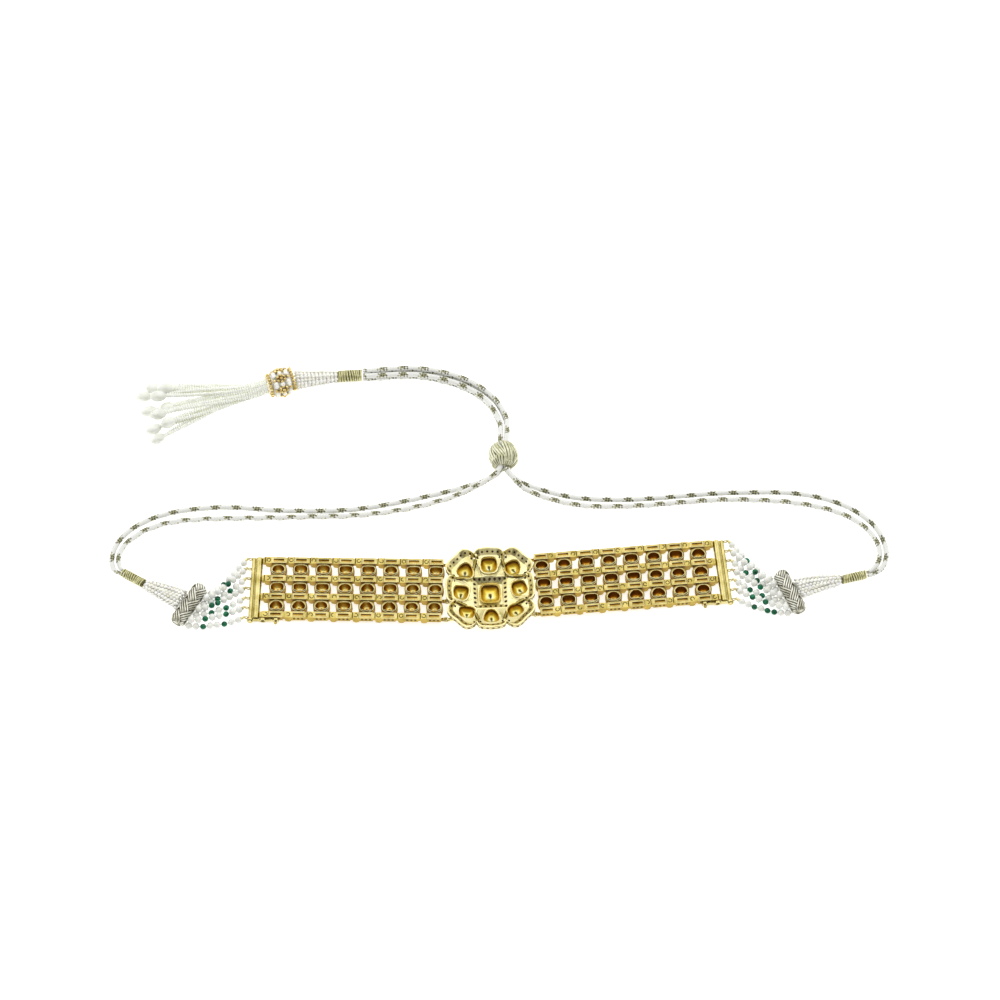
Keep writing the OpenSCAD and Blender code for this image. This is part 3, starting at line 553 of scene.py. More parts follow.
# The hollows of the olive and of the pale thread are painted shade
olive = finish("olive_thread", (0.5, 0.45, 0.15), Metallic=0.45, Roughness=0.42, Sheen_Weight=0.3)
mottle(olive, 1500, 2, (0.3, (0.44, 0.42, 0.15)), (0.7, (0.85, 0.82, 0.5)),
       hollows=(0.6, 0.4, 0.9, (0.2, 0.17, 0.04)))
relief(olive, grain(olive, 4000), 0.05)

# Painted shade: a near-black thread laid in the grooves between wound threads
painted_groove_shade = finish("painted_groove_shade", (0.12, 0.1, 0.03), Metallic=0.4, Roughness=0.5)
mottle(painted_groove_shade, 900, 2, (0.3, (0.05, 0.05, 0.01)), (0.7, (0.16, 0.15, 0.05)))

pale_thread = finish("pale_thread", (0.6, 0.58, 0.36), Metallic=0.45, Roughness=0.38, Sheen_Weight=0.3)
mottle(pale_thread, 450, 3, (0.3, (0.5, 0.5, 0.26)), (0.62, (0.88, 0.88, 0.68)),
       hollows=(0.7, 0.5, 0.93, (0.09, 0.09, 0.02)))

# %% The braided cord's finish
braided = finish("braided_cord", (0.85, 0.86, 0.84), Roughness=0.62, Sheen_Weight=0.2)
mark, height = attribute(braided, "metal"), attribute(braided, "height")
# Painted shade: the white and the metal yarns turn darker where the braid is low, in its grooves
white_yarn = ramp(braided, height, (0.0, (0.3, 0.31, 0.28)), (0.5, (0.83, 0.84, 0.82)))
metal_tone = ramp(braided, mark, (0.65, (0.4, 0.4, 0.22)), (0.9, (0.02, 0.02, 0.01)))
metal_yarn = darken(braided, metal_tone, ramp(braided, height, (0.1, 0.25), (0.6, 1.0)))
is_metal = ramp(braided, mark, (0.2, 0.0), (0.4, 1.0))
lead(braided, mixed(braided, "MIX", white_yarn, metal_yarn, is_metal), "Base Color")
relief(braided, grain(braided, 5000), 0.03)
print("finishes:", sorted(m.name for m in bpy.data.materials))

# %% [markdown]
# ## Two Geometry Nodes trees
# Most of what shows is either *the same bead many times* or *a wire along a path*, so two trees
# make it. The first sets a bead on every point of a mesh, with its hole along the point's heading
# and a random roll and size. The second turns every polyline of a mesh into a round wire. Both end
# in Realize Instances and Set Material, so that the result is one plain mesh.

# %% Helpers for trees
def new_tree(name, **inputs):
    """A tree that takes and gives geometry, and has the named inputs of the given kinds."""
    tree = bpy.data.node_groups.new(name, "GeometryNodeTree")
    sockets = tree.interface
    sockets.new_socket("Geometry", in_out="INPUT", socket_type="NodeSocketGeometry")
    sockets.new_socket("Geometry", in_out="OUTPUT", socket_type="NodeSocketGeometry")
    for title, kind in inputs.items():
        sockets.new_socket(title, in_out="INPUT", socket_type="NodeSocket" + kind)
    return tree


def put(tree, kind, settings=(), numbered=(), **named):
    """A node with its settings, and its inputs, by number or name, either linked or set."""
    made = tree.nodes.new(kind)
    for title, value in dict(settings).items():
        setattr(made, title, value)
    named = {title.replace("_", " "): value for title, value in named.items()}
    for place, value in {**dict(numbered), **named}.items():
        if isinstance(value, bpy.types.NodeSocket):
            tree.links.new(value, made.inputs[place])
        else:
            made.inputs[place].default_value = value
    return made


def close_tree(tree, geometry, material):
    real = put(tree, "GeometryNodeRealizeInstances", Geometry=geometry)
    dressed = put(tree, "GeometryNodeSetMaterial", Geometry=real.outputs[0], Material=material)
    put(tree, "NodeGroupOutput", Geometry=dressed.outputs[0])
    print("nodes in", tree.name, len(tree.nodes))


# %% The tree that strings beads
bead_tree = new_tree("beads_on_points", Bead="Object", Spread="Float", Roll="Float", Seed="Int",
                     Material="Material")
given = put(bead_tree, "NodeGroupInput").outputs
bead_shape = put(bead_tree, "GeometryNodeObjectInfo", Object=given["Bead"])
heading = put(bead_tree, "GeometryNodeInputNamedAttribute", {"data_type": "FLOAT_VECTOR"}, Name="heading")
turned = put(bead_tree, "FunctionNodeAlignRotationToVector", {"axis": "Z"},
             Vector=heading.outputs["Attribute"])
any_roll = put(bead_tree, "FunctionNodeRandomValue", {"data_type": "FLOAT"}, {3: given["Roll"]},
               Seed=given["Seed"])
roll = put(bead_tree, "FunctionNodeAxisAngleToRotation", Axis=UPWARD, Angle=any_roll.outputs[1])
rolled = put(bead_tree, "FunctionNodeRotateRotation", {"rotation_space": "LOCAL"},
             Rotation=turned.outputs[0], Rotate_By=roll.outputs[0])
least = put(bead_tree, "ShaderNodeMath", {"operation": "SUBTRACT"}, {0: 1, 1: given["Spread"]})
most = put(bead_tree, "ShaderNodeMath", {"operation": "ADD"}, {0: 1, 1: given["Spread"]})
any_size = put(bead_tree, "FunctionNodeRandomValue", {"data_type": "FLOAT"},
               {2: least.outputs[0], 3: most.outputs[0]}, Seed=given["Seed"])
strung = put(bead_tree, "GeometryNodeInstanceOnPoints", Points=given["Geometry"],
             Instance=bead_shape.outputs["Geometry"], Rotation=rolled.outputs[0],
             Scale=any_size.outputs[1])
close_tree(bead_tree, strung.outputs[0], given["Material"])

# %% The tree that draws wire
wire_tree = new_tree("wire_on_lines", Radius="Float", Sides="Int", Material="Material")
given = put(wire_tree, "NodeGroupInput").outputs
path = put(wire_tree, "GeometryNodeMeshToCurve", Mesh=given["Geometry"])
round_wire = put(wire_tree, "GeometryNodeCurvePrimitiveCircle", Resolution=given["Sides"],
                 Radius=given["Radius"])
drawn = put(wire_tree, "GeometryNodeCurveToMesh", Curve=path.outputs[0],
            Profile_Curve=round_wire.outputs[0], Fill_Caps=True)
smooth_wire = put(wire_tree, "GeometryNodeSetShadeSmooth", Geometry=drawn.outputs[0])
close_tree(wire_tree, smooth_wire.outputs[0], given["Material"])


# %% Run a tree and keep a plain mesh
def grown(name, seedling, tree, **inputs):
    piece = bpy.data.objects.new(name, seedling)
    tool = piece.modifiers.new("tree", "NODES")
    tool.node_group = tree
    sockets = {s.name: s.identifier for s in tree.interface.items_tree if s.in_out == "INPUT"}
    for title, value in inputs.items():
        tool[sockets[title]] = value
    bpy.context.scene.collection.objects.link(piece)
    graph = bpy.context.evaluated_depsgraph_get()
    mesh = bpy.data.meshes.new_from_object(piece.evaluated_get(graph), depsgraph=graph)
    piece.modifiers.remove(tool)
    piece.data = mesh
    mesh.name = name
    print(name, "has", len(mesh.polygons), "faces")
    return piece


def beads_on(name, bead, places, material, spread=0.04, roll=2 * math.pi, seed=1):
    """One bead at each place; places are pairs of a point and the heading of the hole."""
    points, headings = zip(*places)
    seedling = make_mesh(name, points)
    layer = seedling.attributes.new("heading", "FLOAT_VECTOR", "POINT")
    layer.data.foreach_set("vector", np.asarray(headings, np.float32).ravel())
    return grown(name, seedling, bead_tree, Bead=bead, Spread=spread, Roll=roll, Seed=seed,
                 Material=material)


def copies_on(name, shape, points, material):
    """The same shape at each point, unturned and of one size."""
    return beads_on(name, shape, [(point, UPWARD) for point in points], material, spread=0, roll=0)


def wires_on(name, lines, radius, material, sides=6, closed=False):
    points, edges = [], []
    for line in lines:
        first = len(points)
        points.extend(line)
        edges += [(k, k + 1) for k in range(first, len(points) - 1)]
        if closed:
            edges.append((len(points) - 1, first))
    return grown(name, make_mesh(name, points, edges=edges), wire_tree, Radius=radius * MM, Sides=sides,
                 Material=material)


def belongs(piece, slot, *stands_for):
    """The piece rides on the bracelet, and may stand for nodes of the CAD."""
    if stands_for:
        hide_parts(*stands_for)
    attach(piece, "bracelet")


# %% [markdown]
# ## The shapes of the beads
# A drilled bead is a turned shape: an outline swept once round its hole. One function turns every
# kind, from round pearls to pear-shaped drops, each with just enough sides for its size. The
# hole's edge is marked sharp, so that it shades as an edge.

# %% Turn a bead on its hole
def turned_bead(name, outline, sides):
    """outline: (radius, height) pairs, from one end of the hole round the outside to the other."""
    shape = bmesh.new()
    rings = [
        [shape.verts.new(Vector((r * math.cos(a), r * math.sin(a), z)) * MM)
         for a in (2 * math.pi * k / sides for k in range(sides))]
        for r, z in outline
    ]
    for lower, upper in zip(rings, rings[1:] + rings[:1]):
        for k in range(sides):
            j = (k + 1) % sides
            shape.faces.new((lower[k], lower[j], upper[j], upper[k])).smooth = True
    for ring in (rings[0], rings[-1]):
        for k in range(sides):
            shape.edges.get((ring[k], ring[(k + 1) % sides])).smooth = False
    mesh = bpy.data.meshes.new(name)
    shape.to_mesh(mesh)
    shape.free()
    print(name, "has", len(mesh.polygons), "faces")
    return bpy.data.objects.new(name, mesh)


def round_outline(width, length, hole, steps):
    start = math.asin(min(1, hole / width))
    return [
        (width / 2 * math.sin(a), -length / 2 * math.cos(a))
        for a in (start + (math.pi - 2 * start) * k / steps for k in range(steps + 1))
    ]


# %% One bead of each kind
# Width, length and hole in millimetres, steps of the outline, and sides round the hole
pearl_bead = turned_bead("pearl_bead", round_outline(2.75, 2.54, 0.5, 14), 22)
emerald_bead = turned_bead("emerald_bead", round_outline(2.2, 2.3, 0.5, 8), 12)
seed_bead = turned_bead("seed_bead", round_outline(1.3, 1.5, 0.4, 6), 9)
fine_bead = turned_bead("fine_bead", round_outline(1.75, 1.0, 0.3, 4), 8)
gold_seed = turned_bead("gold_seed", round_outline(1.5, 1.25, 0.4, 6), 10)
cap_pearl = turned_bead("cap_pearl", round_outline(1.9, 1.8, 0.3, 8), 12)
# The small gold cap at a strand's end, and a pear-shaped drop
cone = [(0.12, -0.8), (0.3, -0.85), (0.42, -0.6), (0.4, -0.2), (0.6, 0.3), (0.85, 0.75), (0.75, 0.8),
        (0.12, 0.5)]
strand_cap = turned_bead("strand_cap", cone, 10)
pear = [(0.15, -3.2), (0.85, -2.95), (1.5, -2.3), (2.0, -1.2), (2.15, 0), (2.0, 1.0), (1.6, 1.9),
        (1.0, 2.6), (0.5, 3.1), (0.15, 3.25)]
drop_bead = turned_bead("drop_bead", pear, 16)

# %% [markdown]
# ## Gold and stones from CAD
# The flower, the rings, the links, the clasps and the catches are exact solids already, so they
# stay and get the finish of old gold. The links get a darker, browner copy of it: painted shade.

# %% Dress the CAD nodes
def dress(names, material):
    for name in names:
        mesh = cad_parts[name].data
        mesh.materials.clear()
        mesh.materials.append(material)


METAL_PARTS = ("medallion", "rings", "link", "clasp", "catch")
metal_nodes = [name for name in sorted(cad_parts)
               if "stone" not in name and any(part in name for part in METAL_PARTS)]
dress(metal_nodes, gold)
dress([name for name in metal_nodes if "link" in name], band_gold)
dress([name for name in metal_nodes if "clasp" in name or "catch" in name], clasp_gold)
print(len(metal_nodes), "nodes are gold")

# %% [markdown]
# ## Where the bands end
# The bands bend a little toward the viewer and slope down a little to their ends. A place on a
# clasp is easiest to say along and across its band, so one helper turns such a place into the
# bracelet's own frame.

# %% Places measured from a band's end
SIDES = {"left": -1, "right": 1}
# Where each band meets its clasp, how far it is turned there, and how it slopes down to it
BAND_END = {"left": (-85.3, 2.2), "right": (84.6, 9.4)}
BAND_TURN = {"left": math.radians(2.1), "right": math.radians(6.3)}
BAND_SLOPE = math.radians(2.5)


def from_band(side, x, y, z):
    c, s = math.cos(BAND_SLOPE), math.sin(BAND_SLOPE)
    flat = turned_flat((SIDES[side] * (x * c + z * s), y), SIDES[side] * BAND_TURN[side])
    return np.array([*(flat + BAND_END[side]), z * c - x * s])


def on_band(side, places):
    return [from_band(side, *place) for place in places]


for side in SIDES:
    print(side, "band meets its clasp at", from_band(side, 0, 0, 0).round(1).tolist())

# %% [markdown]
# ## Foil behind the stones
# Seen from behind, each stone is a bowl of foil with a small point in its middle, pressed to the
# stone's own outline. One profile makes them all: a flat table below, a straight side, and a bowl
# that is steep at the rim and nearly flat inside. The nine cups of the flower all differ, so they are
# made one by one. The collets of a band are alike, so the bead tree sets one bowl in each.

# %% A foil bowl
BOWL_STEPS = (0.97, 0.93, 0.87, 0.8, 0.72, 0.63, 0.53, 0.43, 0.35, 0.28, 0.22, 0.16, 0.11, 0.06, 0.015)
# The four rings round the bowl, table, girdle, rim and mouth, and how far out they count in colour
TABLE_SHARE, MOUTH_SHARE, OUTER_SHARES = 0.62, 1.02, (0.4, 0.7, 0.3, 0.3)
# The point takes up this share of the bowl, and rises with this power
POINT_SHARE, POINT_POWER = 0.28, 1.3
# The point stands a little nearer the viewer than the middle of the opening
POINT_NEAR = 0.3
# A painted shadow streak runs from the point toward the viewer, and a shorter one away
NEEDLE_SHARE, NEEDLE_BEHIND, NEEDLE_HALF = 0.55, 0.2, 0.1
# The streak's half width is so many times NEEDLE_HALF at the point, and one less at the tip
NEEDLE_ROOT = 1.3
# How much sooner the far side of a bowl turns brown with painted shade than its near side
CUP_LEAN, COLLET_LEAN = 0.22, 0.6
# The foil is this much of the stone's outline
FOIL_FIT = 0.985
# No place of a bowl counts for less than the first in colour, its painted highlight, and only the
# painted shadow streak has the second
LEAST_OUTWARD, STREAK = 0.17, 0.05


def oval(width, length, square, taper, points):
    a = np.linspace(0, 2 * math.pi, points, endpoint=False)
    x = np.sign(np.cos(a)) * np.abs(np.cos(a)) ** (2 / square)
    y = np.sign(np.sin(a)) * np.abs(np.sin(a)) ** (2 / square) / 2
    return np.stack([width / 2 * x * (1 - 2 * taper * y), length * y], 1)


def foil_bowl(outline, opening, table, girdle, rim, low, point, lean, hollow=2.4, needle=None):
    """Rings from the table up the side and down into the bowl, and how far out each counts in painted
    shade.
    """
    def flat(shape, scale, z):
        return np.column_stack([shape * scale, np.full(len(shape), z)])

    rings = [flat(outline, TABLE_SHARE, table), flat(outline, 1, girdle), flat(outline, 1, rim),
             flat(opening, MOUTH_SHARE, rim)]
    for share in BOWL_STEPS:
        z = low + (rim - low) * share ** hollow + point * max(0, 1 - share / POINT_SHARE) ** POINT_POWER
        rings.append(flat(opening, share, z) - (0, POINT_NEAR * (1 - share), 0))
    northward = opening[:, 1] / np.linalg.norm(opening, axis=1)
    shares = np.array([*OUTER_SHARES, *BOWL_STEPS])
    outward = np.outer(shares, 1 + lean * northward).clip(LEAST_OUTWARD, 1)
    if needle is not None:
        aside = np.angle(np.exp(1j * (np.arctan2(opening[:, 1], opening[:, 0]) - needle)))
        for ring, share in enumerate(BOWL_STEPS, len(OUTER_SHARES)):
            reach = np.where(np.abs(aside) < math.pi / 2, NEEDLE_SHARE, NEEDLE_BEHIND)
            close = np.abs(np.sin(aside)) * share < NEEDLE_HALF * (NEEDLE_ROOT - share / NEEDLE_SHARE)
            outward[ring, close & (share <= reach)] = STREAK
    return np.array(rings), outward.ravel()


def foil_mesh(name, rings, outward, material):
    mesh = skin(name, rings)
    layer = mesh.attributes.new("outward", "FLOAT", "POINT")
    layer.data.foreach_set("value", outward.astype(np.float32))
    mesh.materials.append(material)
    return mesh


# %% The nine cups
MEDALLION_TURN = math.radians(2.5)
CUP_POINTS = 40
# turn is in degrees, table and rim are heights, and lip is the radius of the rolled edge
Cup = namedtuple("Cup", "x y width length square taper turn table rim lip")
CUPS = [Cup(*numbers) for numbers in (
    (0, 0, 6.9, 7.2, 4, 0.02, 0, 0, 2.5, 0.3),
    (0, 10.8, 6, 6.1, 3, -0.05, 0, 1.3, 4.8, 0.12),
    (8.9, 9.2, 5.7, 5.9, 2.4, -0.1, 20, 1.3, 4.8, 0.2),
    (11, 0.6, 5.6, 6, 3, 0.05, 15, 1.3, 4.8, 0.18),
    (9.1, -8.7, 6, 5.2, 2.5, 0.1, 25, 1.3, 4.8, 0.18),
    (0, -10.8, 5.5, 5.8, 2.5, 0.3, 0, 1.3, 4.8, 0.12),
    (-9.1, -8.8, 6, 5.1, 2.8, -0.15, -10, 1.3, 4.8, 0.12),
    (-11, -0.4, 5.6, 5.8, 3, -0.1, -8, 1.3, 4.8, 0.12),
    (-9, 8.9, 5.7, 6.2, 2.2, 0.35, -15, 1.3, 4.8, 0.18),
)]


def in_cup(cup, rows):
    """Rows of points round the origin, moved to where the cup is."""
    return turned_rows(turned_rows(rows, math.radians(cup.turn)) + (cup.x, cup.y, 0), MEDALLION_TURN)


def cup_ring(cup, wider, z):
    """A ring outside the cup's edge, wider on each side."""
    ring = oval(cup.width + 2 * wider, cup.length + 2 * wider, cup.square, cup.taper, CUP_POINTS)
    return in_cup(cup, np.column_stack([ring, np.full(len(ring), z)]))


# %% Bowls of the nine cups
MIDDLE_DEPTH, CUP_DEPTH = 1.7, 2
# Height of a stone's side, and of the point in its bowl
STONE_SIDE, CUP_POINT = 0.6, 1.1
# The painted shadow streak runs toward the viewer. It slants by so many degrees for each millimetre
# to the left of the flower's middle, and by so many to the right
NEEDLE_TURN, SLANT_LEFT, SLANT_RIGHT = -80, 2, 4

for number, cup in enumerate(CUPS, 1):
    outline = FOIL_FIT * oval(cup.width, cup.length, cup.square, cup.taper, CUP_POINTS)
    slant = SLANT_RIGHT * max(cup.x, 0) + SLANT_LEFT * min(cup.x, 0)
    rings, outward = foil_bowl(
        outline, outline, table=cup.table, girdle=cup.table + STONE_SIDE, rim=cup.rim,
        low=cup.rim - (MIDDLE_DEPTH if number == 1 else CUP_DEPTH), point=CUP_POINT, lean=CUP_LEAN,
        needle=math.radians(NEEDLE_TURN + slant - cup.turn))
    title = f"flower_foil_{number}"
    bowl = new_piece(title, foil_mesh(title, in_cup(cup, rings), outward, cup_foil))
    belongs(bowl, "foiled_stone", f"medallion_stone_{number}")
print(len(CUPS), "cups have their foil")

# %% [markdown]
# ## Dark holes and dark lines
# Small holes are pierced behind the tiny stones of the front. No light comes through them, so a
# plug of painted shade sits in each. The holes of the rim stand on its slope, so each has a gold plug
# along the slope with a dot of painted shade on it. A rib parts the cells, with a dark seam of
# painted shade at each side of it, and another fine seam of painted shade runs round each cup. The
# bowls end in a rolled lip. Outside, the upright wall of the dish has its own row of holes, dots of
# painted shade, between two fine lines of painted shade.

# %% Outline of the flower
# From the middle of a side to the corner, as shares of how far the flower reaches
FLOWER_EIGHTH = [(0, 1), (0.22, 0.98), (0.295, 0.935), (0.335, 0.86), (0.39, 0.92), (0.48, 0.97),
                 (0.58, 0.975), (0.68, 0.91), (0.79, 0.79)]
FLOWER_REACH = 16.9
# Scale of the outline and height, at the slope's foot and its top
SLOPE_FOOT, SLOPE_TOP = (0.86, 6), (0.965, 8)
SLOPE_RISE = (SLOPE_TOP[1] - SLOPE_FOOT[1]) / (SLOPE_TOP[0] - SLOPE_FOOT[0])
# The same at the foot and the top of the upright wall outside the slope
WALL_FOOT, WALL_TOP = (0.985, 5.4), (1.0, 8)


def flower_outline():
    quarter = FLOWER_EIGHTH + [(y, x) for x, y in FLOWER_EIGHTH[-2:0:-1]]
    points = [turned_flat(p, -math.pi / 2 * q) * FLOWER_REACH for q in range(4) for p in quarter]
    return np.array(points[::-1])


def up_wall(share):
    """Scale of the outline and height, at a share of the wall's height."""
    return (1 - share) * np.array(WALL_FOOT) + share * np.array(WALL_TOP)


flower = flower_outline()
flower_loop = np.vstack([flower, flower[:1]])
flower_gone = np.concatenate([[0], np.cumsum(np.linalg.norm(np.diff(flower_loop, axis=0), axis=1))])
print("the flower is", round(flower_gone[-1], 1), "mm round")

# %% Plugs of the rim and the wall
RIM_HOLES = 60
HOLE_SCALE = 0.913
WALL_DOTS_UP = 0.5
# How far each kind goes in from its surface, and how far it stands out
RIM_PLUG, RIM_DOT, WALL_DOT = (0.9, -0.04), (0.4, 0.02), (0.3, 0.03)


def plug(mouth, out, inward, outward):
    """A short line through the mouth of a hole."""
    return [mouth - out * inward, mouth + out * outward]


rim_plugs, rim_dots, wall_dots = [], [], []
for k in range(RIM_HOLES):
    at = (k + 0.5) * flower_gone[-1] / RIM_HOLES
    point = np.array([np.interp(at, flower_gone, flower_loop[:, i]) for i in (0, 1)])
    corner = np.searchsorted(flower_gone, at)
    along_edge = unit([*(flower_loop[corner] - flower_loop[corner - 1]), 0])
    out_of_slope = unit(np.cross(along_edge, unit([*point, SLOPE_RISE])))
    out_of_slope *= np.sign(out_of_slope[2])
    mouth = np.array([*(point * HOLE_SCALE), SLOPE_FOOT[1] + (HOLE_SCALE - SLOPE_FOOT[0]) * SLOPE_RISE])
    rim_plugs.append(plug(mouth, out_of_slope, *RIM_PLUG))
    rim_dots.append(plug(mouth, out_of_slope, *RIM_DOT))
    scale, height = up_wall(WALL_DOTS_UP)
    out_of_wall = unit(np.cross(along_edge, UPWARD))
    out_of_wall *= np.sign(out_of_wall[:2] @ point)
    wall_dots.append(plug(np.array([*(point * scale), height]), out_of_wall, *WALL_DOT))
print(RIM_HOLES, "holes round the rim")

# %% Plugs of the square frame and the notches
FRAME_LANE = 5.75
FRAME_HOLES = 6
NOTCH_HOLES = [(0.245, 0.79), (0.385, 0.79)]
# Heights of the two ends of a plug
FRAME_PLUG, NOTCH_PLUG = (1.2, 2.6), (3, 4.6)

frame_plugs, notch_plugs = [], []
for q in range(4):
    for k in range(FRAME_HOLES):
        spot = (-FRAME_LANE + 2 * FRAME_LANE / FRAME_HOLES * k, FRAME_LANE)
        frame_plugs.append([(*turned_flat(spot, math.pi / 2 * q), z) for z in FRAME_PLUG])
    for x, y in NOTCH_HOLES:
        for spot in ((x, y), (y, x)):
            spot = turned_flat(spot, math.pi / 2 * q) * FLOWER_REACH
            notch_plugs.append([(*spot, z) for z in NOTCH_PLUG])

# The gold plugs fill the rim's holes; the dots and the other plugs are painted shade
for title, lines, radius, metal in (
        ("rim_plugs", rim_plugs, 0.82, gold),
        ("rim_dots", rim_dots, 0.45, shade_gold),
        ("wall_dots", wall_dots, 0.5, shade_gold),
        ("frame_plugs", frame_plugs, 0.62, shade_gold),
        ("notch_plugs", notch_plugs, 0.45, shade_gold)):
    lines = [turned_rows(np.array(line), MEDALLION_TURN) for line in lines]
    belongs(wires_on(title, lines, radius, metal, sides=12), "gold")

# %% Draw the lips, the ribs and the seams
# The bezel round each cup is so wide, its seam lies so deep, and its lip stands so high
BEZEL, SEAM_DOWN, LIP_UP = 0.62, 0.1, 0.12
# From the frame's corner up to the notch; the end is a share of the flower's reach
RIB_FOOT, RIB_END, RIB_TOP_Z = (6.6, 6.6, 3.4), (0.29, 0.74), 6.2
RIB_HALF = 0.5
WALL_LINES_UP = (0.16, 0.86)

for number, cup in enumerate(CUPS, 1):
    ring = cup_ring(cup, cup.lip, cup.rim + LIP_UP)
    belongs(wires_on(f"cup_lip_{number}", [ring], cup.lip, lip_gold, sides=8, closed=True), "gold")

seam_loops = [cup_ring(cup, BEZEL, cup.rim - SEAM_DOWN) for cup in CUPS[1:]]
wall_lines = []
for scale, height in map(up_wall, WALL_LINES_UP):
    loop = np.column_stack([flower * scale, np.full(len(flower), height)])
    wall_lines.append(turned_rows(loop, MEDALLION_TURN))
ribs, rib_seams = [], []
for q in range(4):
    for end in (RIB_END, RIB_END[::-1]):
        line = np.array([RIB_FOOT, (end[0] * FLOWER_REACH, end[1] * FLOWER_REACH, RIB_TOP_Z)])
        aside = unit(np.cross(line[1] - line[0], UPWARD)) * RIB_HALF
        for shift, lines in ((aside * 0, ribs), (aside, rib_seams), (-aside, rib_seams)):
            lines.append(turned_rows(line + shift, math.pi / 2 * q + MEDALLION_TURN))

# The seams and the lines on the wall are wires of painted shade along the creases
for title, lines, radius, metal, closed in (
        ("cup_seams", seam_loops, 0.1, shade_gold, True),
        ("cell_ribs", ribs, 0.42, band_gold, False),
        ("rib_seams", rib_seams, 0.11, shade_gold, False),
        ("wall_lines", wall_lines, 0.11, dim_gold, True)):
    belongs(wires_on(title, lines, radius, metal, sides=8, closed=closed), "gold")

# %% [markdown]
# ## Trim of the bands
# The rails are chased by hand: a bright edge round each box and each slot, a small ring struck on
# every knuckle, a dark line where box and knuckle meet, and small pierced openings in the side
# wall. Edges, rings and the lines round the collets are fine wires. The dark lines of the knuckles,
# the openings, the floors of the slots and the hinges' shoulders are small plates. The bright edges,
# rims and steps are painted highlights; the rings, the dark lines, the openings, the collets' outlines
# and near lines and the browner slot floors are painted shade.

# %% Places on a band
LINKS = 8
LINK_PITCH = 8.5
RAIL_PITCH = 7.6
RAIL_TOP = 3.6
# Each rail's box and its slot: where they begin and end, and half their widths
BOX, BOX_HALF = (0.45, 5.55), 1.2
SLOT, SLOT_HALF = (0.85, 5.15), 0.62
KNUCKLE_X = 6.8
COLLET_X = 3.0
COLLET_TOP = 3.3
LINK_STARTS = [LINK_PITCH * (k - LINKS) for k in range(LINKS)]
RAILS = [(start, RAIL_PITCH * (1.5 - row)) for start in LINK_STARTS for row in range(4)]
COLLETS = [(start + COLLET_X, RAIL_PITCH * (1 - row)) for start in LINK_STARTS for row in range(3)]
# Dark lines of painted shade lie at these two places of a rail, and most of them show
SEAMS, SEAM_SHARE = (5.6, 8.07), 0.8
print(len(RAILS), "rail boxes and", len(COLLETS), "collets on each band")


def band_shape(side, points):
    """The same points turned and sloped like the band, round the origin."""
    points = np.asarray(points, float)
    origin = from_band(side, 0, 0, 0)
    shape = np.array([from_band(side, *p) - origin for p in points.reshape(-1, 3)]).reshape(points.shape)
    # The left band is a mirror image, so its rings run the other way round
    return shape[:, ::-1] if side == "left" else shape


# %% What is left to chance
# Width, length, squareness and taper of the openings, which were cut by eye
OPENINGS = ((4.9, 3.3, 2.6, 0.02), (4.7, 3.5, 2.1, 0.3), (4.8, 2.8, 3.4, -0.04), (4.5, 3.1, 2.2, 0.14))
# The ring on a knuckle isn't quite closed: its least and its greatest sweep, in radians
SWEEPS = (3.2, 6)
chance = np.random.default_rng(4)
cuts, strikes, seams_seen = {}, {}, {}
for side in SIDES:
    cuts[side] = chance.integers(0, len(OPENINGS), len(COLLETS))
    strikes[side] = [(chance.uniform(0, 2 * math.pi), chance.uniform(*SWEEPS)) for _ in RAILS]
    seams_seen[side] = [[x for x in SEAMS if chance.random() < SEAM_SHARE] for _ in RAILS]
    print(side, "openings:", cuts[side].tolist())

# %% Set the bowls
# The stone of a collet and the foot of its bezel: width, length, squareness and taper
COLLET_STONE, COLLET_FOOT = (5.2, 3.9, 2.6, 0), (5.95, 4.65, 2.6, 0)
# The openings lie this much to the far side of their collets
OPENING_FAR = 0.3
BOWL_POINTS, RIM_POINTS = 28, 26


def band_bowl(side, shape):
    opening = oval(*shape, BOWL_POINTS) + (0, OPENING_FAR)
    stone = FOIL_FIT * oval(*COLLET_STONE, BOWL_POINTS)
    rings, outward = foil_bowl(stone, opening, table=0.15, girdle=0.9, rim=3.2, low=1.1, point=1.0,
                               lean=COLLET_LEAN, hollow=2.6)
    return bpy.data.objects.new("bowl", foil_mesh("bowl", band_shape(side, rings), outward, collet_foil))


for side in SIDES:
    for kind, shape in enumerate(OPENINGS):
        places = on_band(side, [(x, y, 0) for (x, y), cut in zip(COLLETS, cuts[side]) if cut == kind])
        foils = copies_on(f"{side}_foils_{kind + 1}", band_bowl(side, shape), places, collet_foil)
        belongs(foils, "foiled_stone", *([f"{side}_stones"] if kind == 0 else []))

# %% Draw the fine wires
KNUCKLE_RING = (1.4, 1.4)
# How deep the edges and the foot of the bezel lie in the rail's top, and how high the near lines stand
EDGE_DOWN, FOOT_DOWN, NEAR_UP = 0.02, 0.1, 0.08
# A box's edge lies so far in from its side, and a collet's rim is so much wider than its opening
EDGE_IN, RIM_WIDER = 0.05, 0.3
ARC_POINTS = 12
# Width and length of the two lines on the near side of a collet, and the part of the round they take
SHADE, STEP, NEAR_ARC = (5.1, 4.0), (5.6, 4.55), (1.13 * math.pi, 1.87 * math.pi)


def rectangle(x0, x1, y0, y1, z):
    return [(x0, y0, z), (x1, y0, z), (x1, y1, z), (x0, y1, z)]


def arc(x, y, width, length, first, last, z):
    return [(x + width / 2 * math.cos(a), y + length / 2 * math.sin(a), z)
            for a in np.linspace(first, last, ARC_POINTS)]


